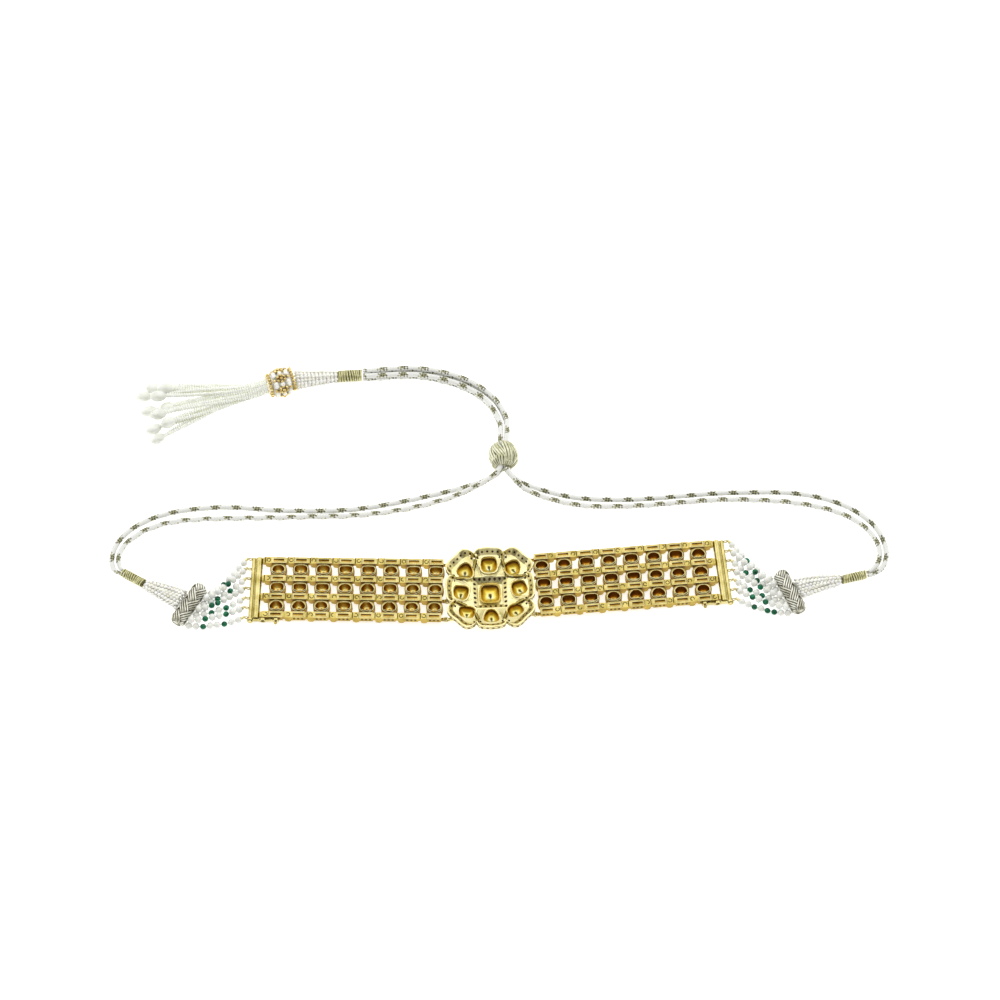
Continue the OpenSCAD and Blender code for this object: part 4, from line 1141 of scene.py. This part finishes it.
for side in SIDES:
    edges, rings, rims, feet, steps, shades = [], [], [], [], [], []
    for (start, y), (first, sweep) in zip(RAILS, strikes[side]):
        for (x0, x1), half in ((BOX, BOX_HALF - EDGE_IN), (SLOT, SLOT_HALF)):
            edges.append(rectangle(start + x0, start + x1, y - half, y + half, RAIL_TOP - EDGE_DOWN))
        rings.append(arc(start + KNUCKLE_X, y, *KNUCKLE_RING, first, first + sweep, RAIL_TOP))
    for (x, y), cut in zip(COLLETS, cuts[side]):
        width, length, square, taper = OPENINGS[cut]
        rim = oval(width + RIM_WIDER, length + RIM_WIDER, square, taper, RIM_POINTS)
        rims.append([(x + px, y + py + OPENING_FAR, COLLET_TOP) for px, py in rim])
        shades.append(arc(x, y, *SHADE, *NEAR_ARC, COLLET_TOP + NEAR_UP))
        steps.append(arc(x, y, *STEP, *NEAR_ARC, COLLET_TOP + NEAR_UP))
        foot = oval(*COLLET_FOOT, RIM_POINTS)
        feet.append([(x + px, y + py, RAIL_TOP - FOOT_DOWN) for px, py in foot])
    # Painted highlights in bright gold: the edges, the rims and the steps. The rest is painted shade.
    for title, lines, radius, metal, closed in (
            ("rail_edges", edges, 0.15, gold, True),
            ("knuckle_rings", rings, 0.16, shade_gold, False),
            ("collet_rims", rims, 0.16, gold, True),
            ("collet_outlines", feet, 0.12, dim_gold, True),
            ("collet_steps", steps, 0.13, gold, False),
            ("collet_shades", shades, 0.13, shade_gold, False)):
        lines = [on_band(side, line) for line in lines]
        belongs(wires_on(f"{side}_{title}", lines, radius, metal, closed=closed), "gold")

# %% Set the small plates
# Three openings in each side wall, the floor under each slot, and the shoulder behind each hinge
WINDOWS, WINDOW_Z = (1.5, 3, 4.5), 2.25
SLOT_FLOOR_X, SLOT_FLOOR_Z = 3.0, 2.85
SHOULDER_X, SHOULDER_Z = 8.57, 2.5


def band_plate(side, size):
    w, l, h = (v / 2 for v in size)
    corners = [[(-w, -l, z), (w, -l, z), (w, l, z), (-w, l, z)] for z in (-h, h)]
    plate = skin("plate", band_shape(side, corners))
    plate.polygons.foreach_set("use_smooth", [False] * len(plate.polygons))
    return bpy.data.objects.new("plate", plate)


for side in SIDES:
    seams = [(start + x, y, RAIL_TOP) for (start, y), seen in zip(RAILS, seams_seen[side]) for x in seen]
    windows = [(start + x, y - BOX_HALF, WINDOW_Z) for start, y in RAILS for x in WINDOWS]
    floors = [(start + SLOT_FLOOR_X, y, SLOT_FLOOR_Z) for start, y in RAILS]
    shoulders = [(start + SHOULDER_X, y, SHOULDER_Z) for start, y in RAILS]
    # Painted shade: the dark lines, the openings and the browner slot floors. The shoulders are plain gold.
    for title, size, places, metal in (
            ("seams", (0.36, 2.3, 0.14), seams, shade_gold),
            ("windows", (0.8, 0.06, 1.1), windows, shade_gold),
            ("slot_floors", (4.1, 1.2, 0.3), floors, slot_gold),
            ("shoulders", (0.86, 2.2, 2), shoulders, band_gold)):
        belongs(copies_on(f"{side}_{title}", band_plate(side, size), on_band(side, places), metal), "gold")

# %% [markdown]
# ## Strands of pearls
# Seven strands hang from the clasp's rings on each side and gather on a toggle. Each one starts
# down and toward the viewer and turns outward, so a Bezier curve with those two directions gives
# its lie. Every second strand rides on its neighbours. The beads are spread evenly and nearly
# touch. One to three in each strand are emeralds, where the photograph shows them.

# %% Where the toggles lie
TOGGLE_ENDS = {"left": ((-108.7, 2), (-117, -11.8)), "right": ((108.8, 8.6), (116.3, -7.8))}
TOGGLE_R = 2.9
TOGGLE_L = 20


def toggle_frame(side):
    """The toggle's middle, its own direction, and the direction away from the band."""
    a, b = (np.array(p, float) for p in TOGGLE_ENDS[side])
    d = unit(b - a)
    return (a + b) / 2, d, np.array([SIDES[side] * abs(d[1]), abs(d[0])])


# %% Curves of the strands
STRANDS = 7
MIDDLE_STRAND = STRANDS // 2
STRAND_STEPS = 24
# The clasp's rings: from one to the next, from the band's end, and how high they lie
RING_PITCH = 4.1
RING_X = 5.6
CLASP_Z = 2
# Where a strand leaves its ring, along and across the band, and its slant there
RING_EDGE, LEAVE_SLANT = (0.85, 0.55), math.radians(55)
# Heights of the lower and the upper strands, and how far both shift along the toggle
STRAND_LEVELS, STRAND_SHIFTS = (1.3, 3.3), (-0.4, 0.4)
# From one strand to the next on the toggle
STRAND_PITCH = 2.6
# The curve is drawn so far straight on at its two ends, and it ends so far before the toggle's skin
LEAVE_PULL, COME_PULL, TOGGLE_GAP = 4, 3, 0.1


def bezier(a, b, c, d, steps):
    t = np.linspace(0, 1, steps + 1)[:, None]
    return (1 - t) ** 3 * a + 3 * (1 - t) ** 2 * t * b + 3 * (1 - t) * t ** 2 * c + t ** 3 * d


def strand_curve(side, i):
    level = STRAND_LEVELS[i % 2]
    middle, d, n = toggle_frame(side)
    from_middle = MIDDLE_STRAND - i
    start = from_band(side, RING_X + RING_EDGE[0], from_middle * RING_PITCH + RING_EDGE[1], CLASP_Z)
    slant = (SIDES[side] * math.cos(LEAVE_SLANT), -math.sin(LEAVE_SLANT))
    leave = start[:2] + turned_flat(slant, SIDES[side] * BAND_TURN[side]) * LEAVE_PULL
    along = -from_middle * STRAND_PITCH + STRAND_SHIFTS[i % 2]
    arrive = middle + d * along - n * (TOGGLE_R + TOGGLE_GAP)
    rest = [np.array([*place, level]) for place in (leave, arrive - n * COME_PULL, arrive)]
    return bezier(start, *rest, STRAND_STEPS)


for side in SIDES:
    curves = [strand_curve(side, i) for i in range(STRANDS)]
    measured = [np.linalg.norm(np.diff(curve, axis=0), axis=1).sum() for curve in curves]
    print(side, "strands, in mm:", np.round(measured, 1).tolist())


# %% Beads along a line
FINE = 0.1
BEAD_PITCH = 2.52
# Left free for the last bead at the toggle and for the gold cap at the ring
LAST_BEAD, END_CAP = 1.3, 2.6
# Places of the emeralds in each strand, counted from the toggle
EMERALD_SLOTS = {
    "left": ((2,), (4,), (2, 4), (2, 3), (2, 4), (2, 5), (2, 5)),
    "right": ((4,), (3,), (3, 5), (3,), (3, 5), (3, 5), (2, 3, 5)),
}


def place_at(fine, at):
    """A point of a finely spaced line, and the heading there."""
    return fine[at], fine[min(at + 3, len(fine) - 1)] - fine[max(at - 3, 0)]


def beads_of(side, i):
    fine = spaced(strand_curve(side, i), FINE)
    total = (len(fine) - 1) * FINE
    count = int((total - LAST_BEAD - END_CAP) / BEAD_PITCH)
    pitch = (total - LAST_BEAD - END_CAP) / count
    return [place_at(fine, int(round((total - LAST_BEAD - k * pitch) / FINE))) for k in range(count + 1)]


# %% String the pearls and the emeralds
EMERALD_SINK = 0.25
# The thread is drawn in steps of this, and goes on so far into the toggle
THREAD_STEP, THREAD_IN = 0.5, 1.2
# The gold cap sits so many fine steps down its strand
CAP_AT = 6
# The thread's loop round a ring, from the ring's middle
THREAD_LOOP = ((0.75, 0.35, 0.3), (0.35, 0.1, 0.42), (0.3, -0.15, 0), (0.35, 0, -0.4), (0.7, 0.3, -0.3))

for side in SIDES:
    pearls, emeralds, caps, threads = [], [], [], []
    inward = np.array([*toggle_frame(side)[2], 0]) * THREAD_IN
    for i in range(STRANDS):
        for k, (point, heading) in enumerate(beads_of(side, i)):
            if k in EMERALD_SLOTS[side][i]:
                emeralds.append((point - (0, 0, EMERALD_SINK), heading))
            else:
                pearls.append((point, heading))
        curve = strand_curve(side, i)
        fine = spaced(curve, FINE)
        caps.append((fine[CAP_AT], fine[CAP_AT + 3] - curve[0]))
        ring = (RING_X, (MIDDLE_STRAND - i) * RING_PITCH, CLASP_Z)
        loop = on_band(side, [np.add(ring, away) for away in THREAD_LOOP])
        threads.append(spaced(np.vstack([loop, curve, [curve[-1] + inward]]), THREAD_STEP))
    strung = beads_on(f"{side}_pearl_strands", pearl_bead, pearls, pearl, spread=0.015, seed=3)
    belongs(strung, "pearl", f"{side}_pearls")
    strung = beads_on(f"{side}_emerald_beads", emerald_bead, emeralds, emerald, spread=0.02, seed=3)
    belongs(strung, "emerald", f"{side}_emeralds")
    belongs(beads_on(f"{side}_strand_caps", strand_cap, caps, gold, seed=2), "gold")
    belongs(wires_on(f"{side}_silk", threads, 0.17, thread), "thread", f"{side}_threads")

# %% [markdown]
# ## Toggles of braided wire
# The strands gather on a bar that is covered with flat ribbons of silver wire, braided two over and
# two under, which is what makes the herringbone. Each ribbon is four wires side by side. The
# ribbons wind round a bar with round ends, and the rule of the braid lifts or sinks them. A plain
# core of the same silver closes the gaps.

# %% The braid round a bar
RIBBONS = 4
WIRES = 4
WIRE_R = 0.37
WINDINGS = 0.95
# A wire lies so many of its radii out from the level of the braid, and rises or sinks by so many
LEVEL_OUT, LIFT_OUT = 0.3, 1.2
# How sharply it changes from over to under
LIFT_STEEP = 1.5
# The wires begin and end at these shares of the bar's outline, and lie flatter near its ends
BRAID_SPAN = (0.045, 0.935)
FLATTER_UNDER = 0.6
WIRE_STEPS = 56
CORE_R, CORE_STEPS, CORE_SIDES = TOGGLE_R - 0.95, 24, 16


def bar_outline(t, radius, straight):
    """Radius and place along a bar with round ends, for t from 0 to 1 along its outline."""
    arc_length = radius * math.pi / 2
    s = t * (straight + 2 * arc_length)
    if s < arc_length:
        return radius * math.sin(s / radius), -straight / 2 - radius * math.cos(s / radius)
    if s < arc_length + straight:
        return radius, s - arc_length - straight / 2
    s -= arc_length + straight
    return radius * math.cos(s / radius), straight / 2 + radius * math.sin(s / radius)


def ribbon_wire(t, ribbon, wire, way):
    turn = (ribbon + (wire + 0.5) / WIRES) / RIBBONS + way * WINDINGS * t
    other = RIBBONS * ((ribbon + 0.5) / RIBBONS + 2 * way * WINDINGS * t)
    lift = max(-1, min(1, LIFT_STEEP * way * math.sin(math.pi / 2 * (other + ribbon))))
    radius, along = bar_outline(t, TOGGLE_R - 2 * WIRE_R, TOGGLE_L - 2 * TOGGLE_R)
    ends = min(1, radius / (TOGGLE_R * FLATTER_UNDER))
    angle = 2 * math.pi * turn
    radius += WIRE_R * (LEVEL_OUT + LIFT_OUT * lift) * ends
    return along, radius * math.cos(angle), radius * math.sin(angle)


# %% Wires and cores of the toggles
for side in SIDES:
    middle, d, n = toggle_frame(side)
    centre = np.array([*middle, TOGGLE_R])
    axis, across, up = np.array([*d, 0]), np.array([*n, 0]), np.array(UPWARD)
    lines = [
        [centre + axis * u + across * v + up * w
         for u, v, w in (ribbon_wire(t, k, j, way) for t in np.linspace(*BRAID_SPAN, WIRE_STEPS))]
        for way in (1, -1) for k in range(RIBBONS) for j in range(WIRES)
    ]
    braid_wires = wires_on(f"{side}_wire_toggle", lines, WIRE_R, silver, sides=7)
    belongs(braid_wires, "silver_wire", f"{side}_toggle")
    core_rings = np.array([
        [centre + axis * u + (across * math.cos(a) + up * math.sin(a)) * max(r, 0.05)
         for a in np.linspace(0, 2 * math.pi, CORE_SIDES, endpoint=False)]
        for r, u in (bar_outline(t, CORE_R, TOGGLE_L - 2 * TOGGLE_R) for t in np.linspace(0, 1, CORE_STEPS))
    ])
    if side == "left":
        core_rings = core_rings[:, ::-1]
    belongs(skinned(f"{side}_toggle_core", core_rings, silver), "silver_wire")

# %% [markdown]
# ## Tapers of seed beads
# Behind each toggle the strands go on as strings of small beads that draw together to the whipping.
# The bundle is an oval that narrows, and the strings lie round it. As it narrows, every second
# string sinks inside, as it must in a real bundle.

# %% Where the whippings and the cap lie
# Start, end, radius and number of turns of each whipping
WHIPS = {
    "left": ((-138.6, 9.4, 1.7), (-130, 4.4, 1.7), 1.78, 12),
    "right": ((141.8, 8.5, 1.7), (132.2, 6.1, 1.7), 1.78, 12),
    "tassel": ((-49.2, 94.2, 2.4), (-59, 93.5, 2.4), 2.35, 11),
}
CAP_ENDS = np.array([(-75.6, 90.8, 5.6), (-85.2, 87.6, 5.6)])
cap_length = np.linalg.norm(CAP_ENDS[1] - CAP_ENDS[0])
print("the cap is", round(cap_length, 1), "mm long")

# %% Strings of seed beads
SEED_PITCH = 1.5
# Half widths and half heights of the side tapers, from the whipping to the toggle
TAPER_W, TAPER_H = (1.7, 2.9, 3.7, 4.1), (1.2, 1.7, 2.0, 2.2)
TASSEL_TAPER = (1.95, 3.5)
# The side tapers leave the toggle at this height and bend at the knee, so far from the toggle's middle
WIDE_GAP, WIDE_Z = 0.2, 2.9
KNEE_OUT, KNEE_Z = 9, 2.4
# The tassel's taper enters its cap so far under the middle
UNDER_MIDDLE = 1.2


def bundle(line, half_w, half_h, strings, bury, shift=0.0):
    """Places of beads on strings round an oval that changes along a line.

    bury: how deep every second string sinks at the narrow end; shift: how the beads of one string are
    moved against those of the last, in beads.
    """
    _, side, top = frames_on(line)
    share = np.linspace(0, 1, len(line))
    w = np.interp(share, np.linspace(0, 1, len(half_w)), half_w)
    h = np.interp(share, np.linspace(0, 1, len(half_h)), half_h)
    step = int(SEED_PITCH / FINE)
    places = []
    for k in range(strings):
        angle = 2 * math.pi * (k + 0.5) / strings
        depth = 1 - (bury * (1 - share) if k % 2 else 0)
        string = line + (side * (w * depth * math.cos(angle))[:, None])
        string = string + (top * (h * depth * math.sin(angle))[:, None])
        fine = spaced(string, FINE)
        first = step // 2 + int(step * ((k * shift) % 1))
        places += [place_at(fine, at) for at in range(first, len(fine) - 4, step)]
    return places


for side in SIDES:
    middle, d, n = toggle_frame(side)
    wide = np.array([*(middle + n * (TOGGLE_R + WIDE_GAP)), WIDE_Z])
    knee = np.array([*(middle + n * KNEE_OUT), KNEE_Z])
    tip = np.array(WHIPS[side][1])
    t = np.linspace(0, 1, 60)[:, None]
    line = (1 - t) ** 2 * tip + 2 * t * (1 - t) * knee + t ** 2 * wide
    places = bundle(line, TAPER_W, TAPER_H, strings=20, bury=0.5, shift=0.37)
    taper = beads_on(f"{side}_seed_strings", seed_bead, places, seed_pearl, spread=0.08, seed=5)
    belongs(taper, "seed_pearl", f"{side}_taper")

line = spaced([WHIPS["tassel"][1], CAP_ENDS[0] - (0, 0, UNDER_MIDDLE)], 0.3)
places = bundle(line, TASSEL_TAPER, TASSEL_TAPER, strings=16, bury=0.3)
taper = beads_on("tassel_seed_strings", seed_bead, places, seed_pearl, spread=0.08, seed=6)
belongs(taper, "seed_pearl", "tassel_taper")

# %% [markdown]
# ## Whippings
# Where cords end they are bound with thick metal thread, wound eleven or twelve times. Its turns lean
# to and fro, and a thin dark thread of painted shade lies between them, so the wire tree draws two
# helices.

# %% Wind the whippings
# So much of a whipping's length is left free at its two ends together
END_FREE = 0.68
# How far a turn leans and how thick its thread's radius is, as shares of the pitch
LEAN, THREAD_SHARE = 0.5, 0.41
# The lean wanders from turn to turn, and eases off toward the ends
WANDER, WANDER_RATE, LEAN_EASE = 1.7, 5, 8
# How deep the dark thread of painted shade lies and how thick it is, in radii of the thick one
GROOVE_DEEP, GROOVE_R = 0.84, 0.66
TURN_STEPS = 28


def whipping_line(start, end, radius, turns, shift):
    """One helix whose turns lean a little to and fro; shift moves it along by a share of a turn."""
    start, end = np.array(start), np.array(end)
    axis = unit(end - start)
    length = np.linalg.norm(end - start)
    across = unit(np.cross(axis, UPWARD))
    up = np.cross(across, axis)
    line = []
    for t in np.linspace(0, 1, turns * TURN_STEPS + 1):
        a = 2 * math.pi * turns * t
        lean = LEAN * length / turns * math.sin(a + WANDER * math.sin(WANDER_RATE * t))
        lean *= min(1, LEAN_EASE * t, LEAN_EASE * (1 - t))
        u = min(END_FREE / 2 + (length - END_FREE) * (t + shift / turns) + lean, length - 0.2)
        line.append(start + axis * u + (across * math.cos(a) + up * math.sin(a)) * radius)
    return line


for place, (start, end, radius, turns) in WHIPS.items():
    thread_r = THREAD_SHARE * np.linalg.norm(np.subtract(end, start)) / turns
    thick = whipping_line(start, end, radius - thread_r, turns, 0)
    binding = wires_on(f"{place}_binding", [thick], thread_r, olive, sides=9)
    belongs(binding, "olive_thread", f"{place}_whipping")
    # A thinner helix of painted shade lies in the grooves
    groove = whipping_line(start, end, radius - thread_r * GROOVE_DEEP, turns, 0.5)
    shade = wires_on(f"{place}_binding_groove", [groove], thread_r * GROOVE_R, painted_groove_shade)
    belongs(shade, "olive_thread")

# %% [markdown]
# ## The sliding ball
# The ball is wound with pale metal thread that goes in at one mouth of its bore and out at the
# other, lobe beside lobe. Each lobe is four thick threads side by side, higher in its middle, with
# thin dark threads of painted shade between them on the near half. Short loops fan out over them from
# the near mouth, with painted shade between them too. The four cords fill the bore.

# %% Lobes of the ball
BALL_AT = np.array([5, 57.1, 5.9])
BALL_R = 5.9
BORE_R = 2.75
MOUTH = math.asin(BORE_R / BALL_R)
LOBES = 8
LOBE_THREADS = 4
BALL_THREAD_R = 0.5
BALL_STEPS = 26
# How deep the creases between the lobes are, and the power that rounds a lobe: the lower, the fuller
CREASE, LOBE_POWER = 0.75, 0.6
# How far a lobe twists on its way, and by how much less or more every second one does
TWIST, TWIST_CHANGE = 0.5, 0.2
# How far a thread's ends are tucked into the bore, and how much nearer its middle they lie
TUCK, TUCK_SHARE = 1.4, 0.9


def on_sphere(r, t, a):
    """A place on a sphere whose poles are the mouths; t runs from the far one to the near one."""
    return r * math.sin(t) * math.cos(a), r * math.cos(t), r * math.sin(t) * math.sin(a)


def tucked(point, along):
    x, y, z = point
    return np.array([x * TUCK_SHARE, y + along, z * TUCK_SHARE])


def ball_lines(places, sunk, begin=0.0):
    """Threads at the given places across each lobe, from 0 to 1, sunk so far under the thick ones."""
    lines = []
    for lobe in range(LOBES):
        twist = TWIST + TWIST_CHANGE * (-1) ** lobe
        for place in places:
            turn = 2 * math.pi * (lobe + place) / LOBES
            swell = math.sin(math.pi * place) ** LOBE_POWER
            r = BALL_R - BALL_THREAD_R - CREASE * (1 - swell) - sunk
            line = []
            for t in np.linspace(max(MOUTH, begin), math.pi - MOUTH, BALL_STEPS):
                a = turn + twist * math.cos(t)
                line.append(on_sphere(r, t, a))
            line = [tucked(line[0], -TUCK if begin < MOUTH else 0), *line, tucked(line[-1], TUCK)]
            lines.append([BALL_AT + p for p in line])
    return lines


thick_places = [(j + 0.5) / LOBE_THREADS for j in range(LOBE_THREADS)]
fine_places = [j / LOBE_THREADS for j in range(1, LOBE_THREADS)]
ball = wires_on("wound_ball", ball_lines(thick_places, sunk=0), BALL_THREAD_R, pale_thread, sides=7)
belongs(ball, "pale_thread", "slide_ball")
# Painted shade: thin dark threads in the grooves between the thick ones
grooves = wires_on("ball_grooves", ball_lines(fine_places, sunk=-0.12, begin=1.2), 0.18, painted_groove_shade,
                   sides=5)
belongs(grooves, "pale_thread")

# %% Loops that fan out from the near mouth
FAN_LOOPS = 7
# Where the loops begin and how far they reach, as angles from the near pole
FAN_START, FAN_REACH = 0.5, 1.3
# How much the middle of a loop stands out, and how deep its end dives
FAN_SWELL, FAN_DIVE = 0.35, 0.9
# It dives from this share of its length on
DIVE_FROM = 0.75


def fan_lines(places, sunk):
    """Short loops from the near mouth; places run across each loop, from -0.5 to 0.5."""
    lines = []
    for loop in range(FAN_LOOPS):
        reach = FAN_REACH * (0.8 + 0.2 * math.cos(2.6 * loop))
        for place in places:
            swell = FAN_SWELL * math.cos(math.pi * place)
            a = 2 * math.pi * (loop + place) / FAN_LOOPS
            line = []
            for share in np.linspace(0, 1, 12):
                t = math.pi - FAN_START - (reach - FAN_START) * share
                r = BALL_R - sunk + swell - FAN_DIVE * (max(0, share - DIVE_FROM) / (1 - DIVE_FROM)) ** 2
                line.append(BALL_AT + on_sphere(r, t, a))
            lines.append(line)
    return lines


thick_fan, fine_fan = (-0.36, -0.12, 0.12, 0.36), (-0.5, -0.24, 0, 0.24)
fan = wires_on("ball_fan", fan_lines(thick_fan, sunk=0.36), 0.4, pale_thread, sides=7)
# And painted shade between the loops
fan_grooves = wires_on("ball_fan_grooves", fan_lines(fine_fan, sunk=0.5), 0.23, painted_groove_shade, sides=5)
for piece in (fan, fan_grooves):
    belongs(piece, "pale_thread")

# %% [markdown]
# ## The tassel's cap
# The cap is a barrel of netted beadwork: a ring of gold seed beads at each rim, gold crosses
# between them, and a small pearl in every gap. Rows and columns round a barrel give all the
# places, so the bead tree strings the whole net.

# %% Places on the cap
CAP_R = (3.85, 4.65, 5.0, 4.65, 3.85)
cap_axis = unit(CAP_ENDS[1] - CAP_ENDS[0])
cap_across = unit(np.cross(cap_axis, UPWARD))
cap_up = np.cross(cap_across, cap_axis)


def on_cap(share, turn, lift=0.0):
    r = np.interp(share, np.linspace(0, 1, len(CAP_R)), CAP_R) + lift
    a = 2 * math.pi * turn
    outward = cap_across * math.cos(a) + cap_up * math.sin(a)
    return CAP_ENDS[0] + cap_axis * cap_length * share + outward * r


def round_cap(turn):
    a = 2 * math.pi * turn
    return cap_up * math.cos(a) - cap_across * math.sin(a)


# %% Net the cap
CAP_REPEATS = 7
RIM_BEADS = 20
# Where the two rings of gold beads lie along the cap, and how far under the net its core lies
RIM_SHARES = (0.06, 0.94)
CORE_DOWN = 0.7
# The core's two ends along the cap, and its steps and sides
CAP_SHARES, CAP_STEPS, CAP_SIDES = (0.02, 0.98), 9, 20
# A gold cross and the links beside it: place along the cap, place round it, and how far it stands out
CROSS = ((0, 0, 0.35), (0.12, 0.14, 0.1), (0.12, -0.14, 0.1), (-0.12, 0.14, 0.1), (-0.12, -0.14, 0.1),
         (0, 0.29, 0), (0, -0.29, 0), (0.27, 0.08, 0), (-0.27, -0.08, 0))
GAPS = ((-0.24, 0.38), (-0.24, 0.62), (0.24, 0.38), (0.24, 0.62), (0, 0.5))

gold_places, pearl_places = [], []
for share in RIM_SHARES:
    for turn in (k / RIM_BEADS for k in range(RIM_BEADS)):
        gold_places.append((on_cap(share, turn), round_cap(turn)))
for k in range(CAP_REPEATS):
    for along, aside, lift in CROSS:
        turn = (k + aside) / CAP_REPEATS
        slant = cap_axis * (1 if along * aside > 0 else -1) * (abs(along) > 0)
        gold_places.append((on_cap(0.5 + along, turn, lift), round_cap(turn) + slant))
    for along, aside in GAPS:
        pearl_places.append((on_cap(0.5 + along, (k + aside) / CAP_REPEATS), cap_axis))
net = beads_on("cap_gold_net", gold_seed, gold_places, bead_gold, spread=0.06, seed=8)
belongs(net, "gold_bead", "tassel_cap")
net_pearls = beads_on("cap_pearls", cap_pearl, pearl_places, seed_pearl, spread=0.05, seed=9)
core_rings = np.array([
    [on_cap(share, k / CAP_SIDES, -CORE_DOWN) for k in range(CAP_SIDES)]
    for share in np.linspace(*CAP_SHARES, CAP_STEPS)
])[:, ::-1]
for piece in (net_pearls, skinned("cap_core", core_rings, seed_pearl)):
    belongs(piece, "seed_pearl")

# %% [markdown]
# ## The tassel
# Strings of small seed pearls spread from the cap, three to each pear-shaped pearl at their ends.
# They lie in a low heap on the table, so every string bows a little and rests on those under it.

# %% Strings and drops
DROPS = [
    (-129.5, 88.4, 2.2), (-133, 84.6, 2.4), (-127.4, 83.4, 5), (-130.8, 78.4, 2), (-127, 75.6, 4.8),
    (-128.8, 70.6, 2), (-123.2, 72, 4.6), (-127, 66.4, 2), (-124.4, 86.6, 5.6), (-124, 80, 2.2),
]
FINE_PITCH = 0.9
# How far from the cap's middle each of the three strings leaves it, and how far it swings aside
LEAVES, SWINGS = (1.1, 2.4, 2.4), (0, 2.2, -2.2)
LOWEST = 0.9
# How far a string runs straight on from the cap and before its drop, how far it bows, and where the
# drop's hole is from its middle
CAP_PULL, DROP_PULL, TWIN_PULL = 14, 12, 3
BOW = 1.2
DROP_NECK = 2
# A string begins so far out of the cap and dips by so much, and comes to its drop from so far above
CAP_OUT, CAP_DIP, DROP_RISE = 0.5, 0.5, 0.8

head = CAP_ENDS[1]
bead_places, drop_places = [], []
for k, drop in enumerate(DROPS):
    drop = np.array(drop, float)
    outward = unit(drop - head)
    aside = np.cross(outward, UPWARD)
    for twin in (0, 1, 2):
        turn = 2 * math.pi * (k + twin / 3) / len(DROPS)
        away = (cap_across * math.cos(turn) + cap_up * math.sin(turn)) * LEAVES[twin]
        leave = head + away + cap_axis * CAP_OUT
        bow = aside * (BOW * math.sin(2.4 * k + 2 * twin)) + aside * SWINGS[twin]
        ease = leave + cap_axis * CAP_PULL + (0, 0, -CAP_DIP)
        come = drop - outward * (DROP_PULL + TWIN_PULL * twin) + bow + (0, 0, DROP_RISE)
        line = spaced(bezier(leave, ease, come, drop - outward * DROP_NECK, 40), FINE)
        line[:, 2] = line[:, 2].clip(LOWEST)
        for at in np.arange(5, len(line) - 4, FINE_PITCH / FINE).astype(int):
            bead_places.append(place_at(line, at))
    drop_places.append((drop, outward))
strings = beads_on("tassel_strings", fine_bead, bead_places, fine_pearl, spread=0.07, seed=10)
belongs(strings, "seed_pearl", "tassel")
drops = beads_on("tassel_drops", drop_bead, drop_places, drop_pearl, spread=0.05, seed=11)
belongs(drops, "seed_pearl")

# %% [markdown]
# Each cord rides on the bracelet and replaces its solid. The photograph shows all four from end to
# end, so their length is the length of the route.

# %% Cords and what goes with them
for name, cord in cords.items():
    line = cord_lines[name] * MM
    cord.data.materials.append(braided)
    belongs(cord, "braided_cord", name)
    print(name, "begins at", cord_lines[name][0].round(1).tolist(), "and ends in the object")
